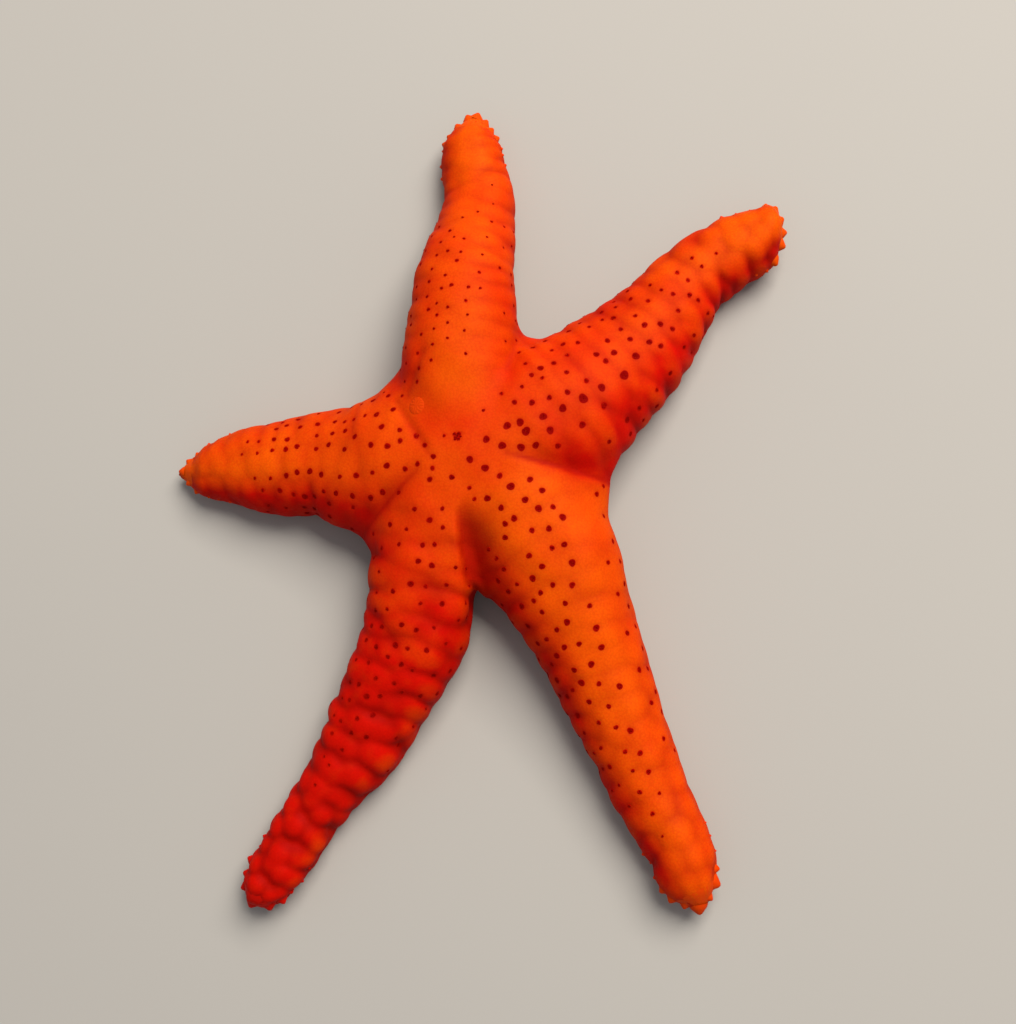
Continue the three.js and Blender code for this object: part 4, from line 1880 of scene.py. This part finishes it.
@dataclass(frozen=True)
class EndPlates:
    """The terminal plate at each arm's end, with its blunt teeth and those beside it."""

    seed: int = 300
    spread: float = 62.0
    rings: int = 7
    sides: int = 28
    lift: float = 0.04
    rim_sink: float = 0.12
    rim_fade: float = 0.3
    ray_start: float = 1.8
    tooth_ray: float = 20.0
    tooth_sides: int = 12
    tooth_climb: float = 0.4
    tooth_tone: float = 0.7
    tooth_heading: Triple = (0.3, 0.2, 1.0)
    side_pitch: float = 2.6
    side_spacing: Pair = (0.8, 1.2)
    side_teeth: int = 3
    side_gap: float = 0.5
    side_angles: Pair = (74.0, 86.0)
    side_sizes: Pair = (0.5, 0.8)
    side_tone: float = 0.4
    outline: Outline = (
        (1.0, -0.5), (0.84, -0.14), (0.62, 0.1), (0.4, 0.31), (0.21, 0.5), (0.0, 0.58),
    )

    def cap(self, ground: Ground, arm: Arm, number: int, batch: MeshBatch) -> None:
        """Lays the plate itself over the end of the arm.

        Args:
            ground: The finished skin.
            arm: The arm.
            number: Its number.
            batch: What the plate is added to.
        """
        middle, run, across, width, rise = arm.end()
        points = []
        local = []
        for share, turn in disc_places(self.rings, self.sides):
            tilt = math.radians(self.spread) * share
            lift = self.lift if share < 1 else -self.rim_sink
            out = (
                run * math.cos(tilt) * arm.tip_length
                + across * math.sin(tilt) * math.cos(turn) * width
                + UP * math.sin(tilt) * math.sin(turn) * rise
            )
            unit = out / np.linalg.norm(out)
            hit = ground.cast(middle + self.ray_start * out, -unit)
            points.append((middle + out if hit is None else hit[0]) + unit * lift)
            local.append((math.cos(turn) * share, math.sin(turn) * share))
        local = np.array(local)
        # The plate takes the arm's tip tone, which on the southwest arm is painted shade.
        tone = arm.tone[2] * (1 - self.rim_fade * np.linalg.norm(local, axis=1))
        faces = disc_faces(self.rings, self.sides)
        batch.add(np.array(points), faces, UNWRAP.place(number, 1.0, 0.0), local, tone)

    def tooth(
        self, batch: MeshBatch, root: Array, out: Array,
        size: float, place: Array, tone: float,
    ) -> None:
        """Stands one blunt tooth.

        Args:
            batch: What the tooth is added to.
            root: Where it stands.
            out: Where it points.
            size: How long it is.
            place: Its place on the unwrap.
            tone: Its tone.
        """
        points, faces = turned(self.outline, self.tooth_sides)
        placed = stood(points * size, root, out, np.array(self.tooth_heading))
        batch.add(placed, faces, place, points[:, :2], np.full(len(points), tone))

    def teeth(self, ground: Ground, arm: Arm, number: int, batch: MeshBatch) -> None:
        """Stands the teeth on the plate, and small ones along both edges behind it.

        Args:
            ground: The finished skin.
            arm: The arm.
            number: Its number.
            batch: What the teeth are added to.
        """
        middle, run, across, _, _ = arm.end()
        for tooth in arm.teeth:
            swing, climb = math.radians(tooth.swing), math.radians(tooth.climb)
            out = run * math.cos(swing) + across * math.sin(swing)
            out = out * math.cos(climb) + UP * math.sin(climb)
            hit = ground.cast(middle + self.tooth_ray * out, -out)
            if hit is not None:
                heading = (out + hit[1]) * [1, 1, self.tooth_climb]
                place = UNWRAP.place(number, 1.0, 0.0)
                # The teeth take the arm's tip tone too, painted shade on the southwest arm.
                tone = self.tooth_tone * arm.tone[2]
                self.tooth(batch, hit[0], heading, tooth.size, place, tone)
        rng = np.random.default_rng(self.seed + number)
        for side in (-1, 1):
            along = arm.reach - arm.tip_length - self.side_gap
            for _ in range(self.side_teeth):
                angle = side * rng.uniform(*self.side_angles)
                hit = ground.foot(arm, along, angle)
                if hit is not None:
                    place = UNWRAP.place(number, along / arm.reach, angle)
                    size = rng.uniform(*self.side_sizes)
                    # Side teeth also take the tip tone, painted shade on the southwest arm.
                    self.tooth(batch, *hit, size, place, self.side_tone * arm.tone[2])
                along -= self.side_pitch * rng.uniform(*self.side_spacing)

    def build(self, ground: Ground, material: Material) -> None:
        """Makes every arm's end plate with its teeth.

        Args:
            ground: The finished skin.
            material: The plates' finish.
        """
        for number, arm in enumerate(ARMS):
            batch = MeshBatch()
            self.cap(ground, arm, number, batch)
            self.teeth(ground, arm, number, batch)
            piece = batch.build(f"{arm.name}_end_plate", material, Slot.PLATES)
            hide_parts(f"{arm.name}_terminal_plate")


@dataclass(frozen=True)
class SievePlate:
    """The madreporite: a small round plate cut by winding channels that run outwards.

    The channels are twice as many beyond the fork, a share of the radius. Each winding is
    how strongly they sway, and how often that turns outwards and round the plate.
    """

    radius: float = 1.9
    rings: int = 16
    sides: int = 84
    crown: float = 0.32
    channel: float = 0.08
    channels: int = 14
    fork: float = 0.5
    winding: tuple[Triple, ...] = ((0.5, 7.0, 2.0), (0.35, 11.0, -3.0))
    bend: float = 2.0
    inner_fade: float = 3.0
    outer_fade: int = 8
    rim_sink: float = 0.15
    middle_tone: float = 0.8
    tones: Pair = (0.7, 0.3)
    unwrap_place: Pair = (0.97, 0.97)
    unwrap_size: float = 8.0

    def build(self, ground: Ground, material: Material) -> None:
        """Makes the sieve plate.

        Args:
            ground: The finished skin.
            material: Its finish.
        """
        spot, normal = ground.top(*SIEVE_PLACE)
        local = []
        tone = []
        for out, turn in disc_places(self.rings, self.sides):
            wind = sum(sway * math.sin(a * out + b * turn) for sway, a, b in self.winding)
            forks = self.channels if out > self.fork else self.channels // 2
            wave = math.cos(forks * turn + wind * self.bend)
            fade = min(1.0, out * self.inner_fade) * (1 - out ** self.outer_fade)
            rise = self.crown * (1 - out ** 3) + self.channel * (wave - 1) / 2 * fade
            if out == 1:
                rise = -self.rim_sink
            local.append((out * math.cos(turn), out * math.sin(turn), rise))
            tone.append(self.tones[0] + self.tones[1] * wave * fade)
        tone[0] = self.middle_tone
        local = np.array(local)
        flat = local * [self.radius, self.radius, 0.0]
        placed = stood(flat, spot, normal, np.array([1.0, 0.0, 0.0]))
        points = ground.drape(placed, normal, local[:, 2])
        faces = disc_faces(self.rings, self.sides)
        batch = MeshBatch()
        spread = local[:, :2] * self.unwrap_size
        batch.add(points, faces, np.array(self.unwrap_place), spread, np.clip(tone, 0, 1))
        piece = batch.build("sieve_plate", material, Slot.SIEVE)
        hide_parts("madreporite")


@dataclass(frozen=True)
class Vent:
    """The anus: a dark, ragged spot near the middle of the back, ringed with granules."""

    spots: tuple[Triple, ...] = (
        (-2.0, 10.6, 0.6), (-1.5, 11.1, 0.42), (-2.5, 11.1, 0.38), (-1.6, 10.0, 0.4),
        (-2.3, 10.0, 0.3), (-1.2, 10.5, 0.28), (-4.6, 10.8, 0.34),
    )
    unwrap_degrees: float = 30.0

    def pores(self, ground: Ground) -> list[Pore]:
        """Lays out the vent's dark spots, which are made as pore areas are.

        Args:
            ground: The skin to set them on.

        Returns:
            The spots, as pore areas of the first arm.
        """
        found = []
        for x, y, radius in self.spots:
            share = math.hypot(x - DISC_CENTRE[0], y - DISC_CENTRE[1]) / ARMS[0].reach
            ahead = np.array([0.0, 1.0, 0.0])
            found.append(Pore(*ground.top(x, y), ahead, radius, 0, share, self.unwrap_degrees * x))
        return found


@dataclass(frozen=True)
class TubeFeet:
    """Two rows of tube feet in every furrow, each with a sucker at its end.

    Inset and roof are shares of the furrow's half width and depth.
    """

    seed: int = 400
    pitch: float = 2.3
    crowding: float = 0.35
    sizes: Pair = (0.9, 1.1)
    start: float = 7.0
    tip_gap: float = 4.0
    radius: float = 0.42
    sides: int = 9
    inset: float = 0.42
    roof: float = 0.82
    splay: float = 0.6
    stray: float = 0.7
    bow: float = 0.35
    sole_gap: float = 0.03
    unwrap_degrees: float = 170.0
    patch: Pair = (0.3, 0.4)
    outline: Outline = (
        (1.15, 0.0), (0.95, 0.12), (0.85, 0.35), (0.8, 0.6), (0.82, 0.84), (1.25, 0.9),
        (1.4, 0.955), (1.3, 1.0), (0.6, 0.985), (0.0, 0.97),
    )

    def foot(
        self, body: Body, arm: Arm, along: float, side: int, rng: np.random.Generator
    ) -> tuple[Array, list[list[int]], Array]:
        """Shapes one tube foot from the furrow's roof down to the floor.

        Args:
            body: The body's field.
            arm: The arm.
            along: Millimetres from the disc's centre.
            side: 1 for the left row, -1 for the right.
            rng: The random numbers to use.

        Returns:
            The vertices, the faces, and the vertices as they were before it was placed.
        """
        t = np.array(along / arm.reach)
        half_width, depth, lips = (float(value) for value in body.furrow_size(arm, t))
        run = arm.tangent(t)
        left = np.array([-run[1], run[0]])
        offset = side * self.inset * half_width
        plan = arm.axis(t) + left * offset
        splay = left * side * rng.uniform(0.0, self.splay)
        foot_plan = plan + splay + run * rng.uniform(-self.stray, self.stray)
        top = np.array([*plan, lips + depth * self.roof])
        bottom = np.array([*foot_plan, self.sole_gap])
        radius = self.radius * half_width / body.furrow_half_width[0] * rng.uniform(*self.sizes)
        shape, faces = turned(tuple((r * radius, h) for r, h in self.outline), self.sides)
        height = shape[:, 2:3]
        bow = np.sin(height * math.pi) * self.bow * rng.uniform(-1, 1)
        placed = top + height * (bottom - top)
        placed[:, :2] += shape[:, 0:1] * run + shape[:, 1:2] * -left + bow * run
        return placed, faces, shape

    def build(self, body: Body, material: Material) -> None:
        """Makes the tube feet, one joined piece for each arm.

        Args:
            body: The body's field.
            material: Their finish.
        """
        for number, arm in enumerate(ARMS):
            rng = np.random.default_rng(self.seed + number)
            batch = MeshBatch()
            for side in (-1, 1):
                along = self.start + (0.5 * self.pitch if side > 0 else 0.0)
                while along < arm.reach * body.furrow_end - self.tip_gap:
                    placed, faces, shape = self.foot(body, arm, along, side, rng)
                    place = UNWRAP.place(number, along / arm.reach, side * self.unwrap_degrees)
                    spread = shape[:, :2] / self.radius * (self.patch[0] + self.patch[1] * shape[:, 2:3])
                    tone = np.clip(shape[:, 2] ** 2, 0, 1)
                    batch.add(placed, faces, place, np.clip(spread, -1, 1), tone)
                    along += self.pitch * (1 - self.crowding * along / arm.reach)
            batch.build(f"{arm.name}_tube_feet", material, Slot.ORAL)


@dataclass(frozen=True)
class SpineKind:
    """How one row of spines stands along a furrow.

    Out and lift are how far outside the lip and above it a spine is rooted, and lean is
    how far it points away from the furrow. Step is the spacing as a share of the pitch,
    and sizes are the radius and the length of each spine in turn.
    """

    out: float
    lift: float
    lean: float
    step: float
    unwrap_degrees: float
    sizes: Outline


class SpineRow(Enum):
    """The two rows of spines on each side of a furrow."""

    FURROW = SpineKind(0.1, 0.75, -0.75, 0.5, 163.0, ((0.24, 1.0), (0.27, 1.35)))
    OUTER = SpineKind(1.15, 0.45, 0.25, 1.0, 156.0, ((0.42, 1.25),))


@dataclass(frozen=True)
class Spines:
    """Blunt spines along both lips of every furrow: pairs inside, stout ones outside."""

    seed: int = 500
    pitch: float = 2.3
    start: float = 8.0
    tip_gap: float = 2.5
    sides: int = 8
    lean_scatter: float = 0.12
    run_scatter: float = 0.15
    tone_power: float = 1.5
    patch: float = 0.8
    outline: Outline = (
        (1.0, -0.15), (1.0, 0.15), (0.95, 0.55), (0.8, 0.82), (0.45, 0.97), (0.0, 1.0),
    )

    def place(
        self, body: Body, arm: Arm, along: float, side: int, kind: SpineKind, rng: np.random.Generator
    ) -> tuple[Array, Array, Array]:
        """Finds where a spine stands on a lip of the furrow.

        Args:
            body: The body's field.
            arm: The arm.
            along: Millimetres from the disc's centre.
            side: 1 for the left lip, -1 for the right.
            kind: How its row stands.
            rng: The random numbers to use.

        Returns:
            Its root, where it points, and the vector along the arm.
        """
        t = np.array(along / arm.reach)
        half_width, _, lips = (float(value) for value in body.furrow_size(arm, t))
        run = np.array([*arm.tangent(t), 0.0])
        left = np.array([-run[1], run[0], 0.0])
        root = np.array([*arm.axis(t), lips + kind.lift]) + left * side * (half_width + kind.out)
        lean = kind.lean + rng.uniform(-self.lean_scatter, self.lean_scatter)
        heading = left * side * lean + run * rng.uniform(-self.run_scatter, self.run_scatter)
        return root, heading + DOWN, run

    def build(self, body: Body, material: Material) -> None:
        """Makes the spines, one joined piece for each arm.

        Args:
            body: The body's field.
            material: Their finish.
        """
        points, faces = turned(self.outline, self.sides)
        tone = np.clip(points[:, 2], 0, 1) ** self.tone_power
        for number, arm in enumerate(ARMS):
            rng = np.random.default_rng(self.seed + number)
            batch = MeshBatch()
            for side in (-1, 1):
                for kind in (row.value for row in SpineRow):
                    step = self.pitch * kind.step
                    length = arm.reach * body.furrow_end - self.tip_gap - self.start
                    for index in range(int(length / step)):
                        along = self.start + index * step
                        radius, size = kind.sizes[index % len(kind.sizes)]
                        stand = self.place(body, arm, along, side, kind, rng)
                        placed = stood(points * [radius, radius, size], *stand)
                        place = UNWRAP.place(number, along / arm.reach, side * kind.unwrap_degrees)
                        batch.add(placed, faces, place, points[:, :2] * self.patch, tone)
            batch.build(f"{arm.name}_furrow_spines", material, Slot.SPINES)


@dataclass(frozen=True)
class Mouth:
    """The mouth: a folded membrane round a small opening, and five jaws with spines.

    A jaw is two rows of knobs that run inwards, with spines at their inner ends. Reach,
    aside and growth pairs give a value at a row's inner end, and how much more it is at
    the outer end, or for the spines at each next one. Places and patches are where parts
    lie on the unwrap, and how large.
    """

    seed: int = 600
    radius: float = 5.2
    height: float = 6.4
    opening: float = 0.9
    opening_depth: float = 1.0
    lip: Triple = (1.5, 0.6, 0.35)
    pleats: int = 15
    pleat_depth: float = 0.12
    rings: int = 12
    sides: int = 60
    tone: Pair = (0.15, 0.5)
    knobs: int = 5
    knob_reach: Pair = (1.8, 3.2)
    knob_aside: Pair = (0.35, 0.75)
    knob_growth: Pair = (0.75, 0.35)
    knob_size: Triple = (0.75, 0.6, 1.0)
    knob_drop: float = 0.5
    knob_tone: float = 0.75
    knob_sides: int = 14
    knob_outline: Outline = (
        (1.0, -0.6), (1.02, 0.2), (0.75, 0.75), (0.35, 0.97), (0.0, 1.0),
    )
    spines: int = 3
    spine_reach: Pair = (1.6, 0.75)
    spine_aside: Pair = (0.3, 0.22)
    spine_size: Triple = (0.26, 0.26, 1.35)
    spine_drop: float = 1.3
    spine_lean: float = 0.7
    spine_splay: float = 0.3
    spine_sides: int = 8
    spine_outline: Outline = (
        (1.0, -0.2), (1.0, 0.3), (0.85, 0.75), (0.4, 0.97), (0.0, 1.0),
    )
    membrane_place: Pair = (0.9, 0.95)
    membrane_patch: float = 14.0
    knob_place: Pair = (0.9, 0.8)
    spine_place: Pair = (0.8, 0.8)
    next_place: float = 0.01
    patch: float = 0.8

    def membrane(self, batch: MeshBatch) -> None:
        """Makes the membrane, pleated towards the opening in its middle.

        Args:
            batch: What the membrane is added to.
        """
        lip_radius, lip_width, lip_height = self.lip
        local = []
        for out, turn in disc_places(self.rings, self.sides):
            dip = self.opening_depth * math.exp(-((out * self.radius / self.opening) ** 2))
            lip = -lip_height * math.exp(-(((out * self.radius - lip_radius) / lip_width) ** 2))
            pleat = self.pleat_depth * math.cos(self.pleats * turn) * (1 - out)
            local.append((out * math.cos(turn), out * math.sin(turn), dip + lip + pleat))
        local[0] = (0.0, 0.0, self.opening_depth)
        local = np.array(local)
        points = local * [self.radius, self.radius, 1.0] + [*DISC_CENTRE, self.height]
        tone = self.tone[0] + self.tone[1] * np.linalg.norm(local[:, :2], axis=1)
        faces = disc_faces(self.rings, self.sides, downward=True)
        spread = local[:, :2] * self.membrane_patch
        batch.add(points, faces, np.array(self.membrane_place), spread, tone)

    def half_jaw(
        self, flesh: MeshBatch, spines: MeshBatch, index: int, out: Array,
        half: int, rng: np.random.Generator,
    ) -> None:
        """Makes one row of a jaw's knobs, and the spines at its inner end.

        Args:
            flesh: What the knobs are added to.
            spines: What the spines are added to.
            index: The jaw's number.
            out: The unit vector from the middle of the mouth to the jaw's root.
            half: 1 for the row on the left, -1 for the right.
            rng: The random numbers to use.
        """
        across = np.array([-out[1], out[0], 0.0]) * half
        knob, knob_faces = turned(self.knob_outline, self.knob_sides)
        for step in range(self.knobs):
            reach, aside, growth = (
                first + more * step / (self.knobs - 1)
                for first, more in (self.knob_reach, self.knob_aside, self.knob_growth)
            )
            root = np.array([*DISC_CENTRE, self.height - self.knob_drop]) + out * reach + across * aside
            placed = stood(knob * self.knob_size * growth, root, DOWN, out)
            place = self.knob_place + self.next_place * np.array([0, index])
            tone = np.full(len(knob), self.knob_tone)
            flesh.add(placed, knob_faces, place, knob[:, :2] * self.patch, tone)
        rod, rod_faces = turned(self.spine_outline, self.spine_sides)
        for step in range(self.spines):
            reach, aside = (first + more * step for first, more in (self.spine_reach, self.spine_aside))
            root = np.array([*DISC_CENTRE, self.height - self.spine_drop]) + out * reach + across * aside
            heading = DOWN - out * self.spine_lean + across * rng.uniform(0.0, self.spine_splay)
            placed = stood(rod * self.spine_size, root, heading, across * half)
            place = self.spine_place + self.next_place * np.array([index, step])
            spines.add(placed, rod_faces, place, rod[:, :2] * self.patch, np.clip(rod[:, 2], 0, 1))

    def build(self, flesh_finish: Material, spine_finish: Material) -> None:
        """Makes the mouth.

        Args:
            flesh_finish: The membrane's and the jaws' finish.
            spine_finish: The spines' finish.
        """
        flesh = MeshBatch()
        spines = MeshBatch()
        self.membrane(flesh)
        rng = np.random.default_rng(self.seed)
        bearings = sorted(arm.bearing % 360 for arm in ARMS)
        for index, bearing in enumerate(bearings):
            following = bearings[(index + 1) % len(bearings)]
            middle = math.radians(bearing + ((following - bearing) % 360) / 2)
            out = np.array([math.cos(middle), math.sin(middle), 0.0])
            for half in (-1, 1):
                self.half_jaw(flesh, spines, index, out, half, rng)
        piece = flesh.build("mouth_membrane_and_jaws", flesh_finish, Slot.ORAL)
        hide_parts("mouth")
        spines.build("mouth_spines", spine_finish, Slot.SPINES)


# ---- Studio ----


@dataclass(frozen=True)
class PaintedBoard:
    """Matt paint on a board: dull and pale, with clouds so faint that it looks even."""

    name: str = "painted_board"
    colour: str = "#9C9995"
    cloud: str = "#A09D98"
    clouds_per_metre: float = 6.0
    roughness: float = 0.8
    specular: float = 0.15

    def build(self) -> Material:
        """Makes the material.

        Returns:
            The material.
        """
        material = empty_material(self.name)
        tree = material.node_tree
        place = add_node(tree, "TexCoord").outputs["Object"]
        cloud = add_node(
            tree, "TexNoise",
            {"Vector": place, "Scale": self.clouds_per_metre, "Detail": 2.0},
        )
        shade = add_node(
            tree, "Mix",
            {"Factor": cloud.outputs["Fac"], "A": linear(self.colour), "B": linear(self.cloud)},
            data_type="RGBA",
        )
        shader = add_node(tree, "BsdfPrincipled", {
            "Base Color": shade.outputs["Result"],
            "Roughness": self.roughness,
            "Specular IOR Level": self.specular,
        })
        add_node(tree, "OutputMaterial", {"Surface": shader.outputs[0]})
        return material


@dataclass(frozen=True)
class Studio:
    """A pale floor, soft light from the upper right and the camera over the star."""

    floor_half: float = 1.6
    world_colour: str = "#F4F6FA"
    world_strength: float = 0.42
    key_place: Triple = (0.44, 0.62, 0.98)
    key_size: float = 0.8
    key_power: float = 29.0
    key_colour: str = "#FFF8EE"
    aim: Triple = (0.0, 0.0, 0.009)
    camera_target: Triple = (0.00703, -0.0031, 0.009)
    camera_distance: float = 0.3
    camera_tilt: float = 10.0
    camera_bearing: float = -50.0
    lens: float = 50.0
    sensor: float = 36.0
    clip: Pair = (0.01, 10.0)

    def floor(self) -> None:
        """Lays the floor, a painted board."""
        mesh = bpy.data.meshes.new("floor")
        half = self.floor_half
        corners = [(-half, -half, 0), (half, -half, 0), (half, half, 0), (-half, half, 0)]
        mesh.from_pydata(corners, [], [(0, 1, 2, 3)])
        mesh.materials.append(PaintedBoard().build())
        floor = bpy.data.objects.new("floor", mesh)
        bpy.context.scene.collection.objects.link(floor)

    def light(self) -> None:
        """Sets the even surroundings and the key light."""
        world = bpy.data.worlds.new("studio")
        bpy.context.scene.world = world
        world.use_nodes = True
        backdrop = world.node_tree.nodes["Background"]
        backdrop.inputs["Color"].default_value = linear(self.world_colour)
        backdrop.inputs["Strength"].default_value = self.world_strength
        lamp = bpy.data.lights.new("key", "AREA")
        lamp.size = self.key_size
        lamp.energy = self.key_power
        lamp.color = linear(self.key_colour)[:3]
        key = bpy.data.objects.new("key", lamp)
        bpy.context.scene.collection.objects.link(key)
        key.location = self.key_place
        toward = Vector(self.aim) - Vector(self.key_place)
        key.rotation_mode = "QUATERNION"
        key.rotation_quaternion = toward.to_track_quat("-Z", "Y")

    def camera(self) -> None:
        """Puts the camera over the star, tilted a little from straight down."""
        tilt, bearing = math.radians(self.camera_tilt), math.radians(self.camera_bearing)
        back = Vector((
            math.sin(tilt) * math.cos(bearing), math.sin(tilt) * math.sin(bearing), math.cos(tilt),
        ))
        data = bpy.data.cameras.new("camera")
        data.lens = self.lens
        data.sensor_width = self.sensor
        data.clip_start, data.clip_end = self.clip
        camera = bpy.data.objects.new("camera", data)
        bpy.context.scene.collection.objects.link(camera)
        camera.location = Vector(self.camera_target) + back * self.camera_distance
        camera.rotation_mode = "QUATERNION"
        camera.rotation_quaternion = Vector((0, 0, 1)).rotation_difference(back)
        bpy.context.scene.camera = camera

    def build(self) -> None:
        """Sets up the whole studio, with colours shown as they are."""
        self.floor()
        self.light()
        self.camera()
        bpy.context.scene.view_settings.view_transform = "Standard"


def main() -> None:
    """Builds the star and the studio around it."""
    logging.basicConfig(level=logging.INFO, format="%(message)s")
    Studio().build()
    shaper = SkinShaper()
    form = shaper.build()
    areas = PoreAreas()
    unpitted = Ground(form)
    pores = areas.lay_out(unpitted) + Vent().pores(unpitted)
    areas.sink(form, pores)
    ground = Ground(form)
    Skin().build(form, GranulatedSkin().build())
    areas.build(ground, pores, PORE_FLESH.build())
    EndPlates().build(ground, LIMY_PLATE.build())
    SievePlate().build(ground, SIEVE_STONE.build())
    wet, lime = WET_FLESH.build(), SPINE_LIME.build()
    TubeFeet().build(shaper.body, wet)
    Spines().build(shaper.body, lime)
    Mouth().build(wet, lime)


if __name__ == "__main__":
    main()
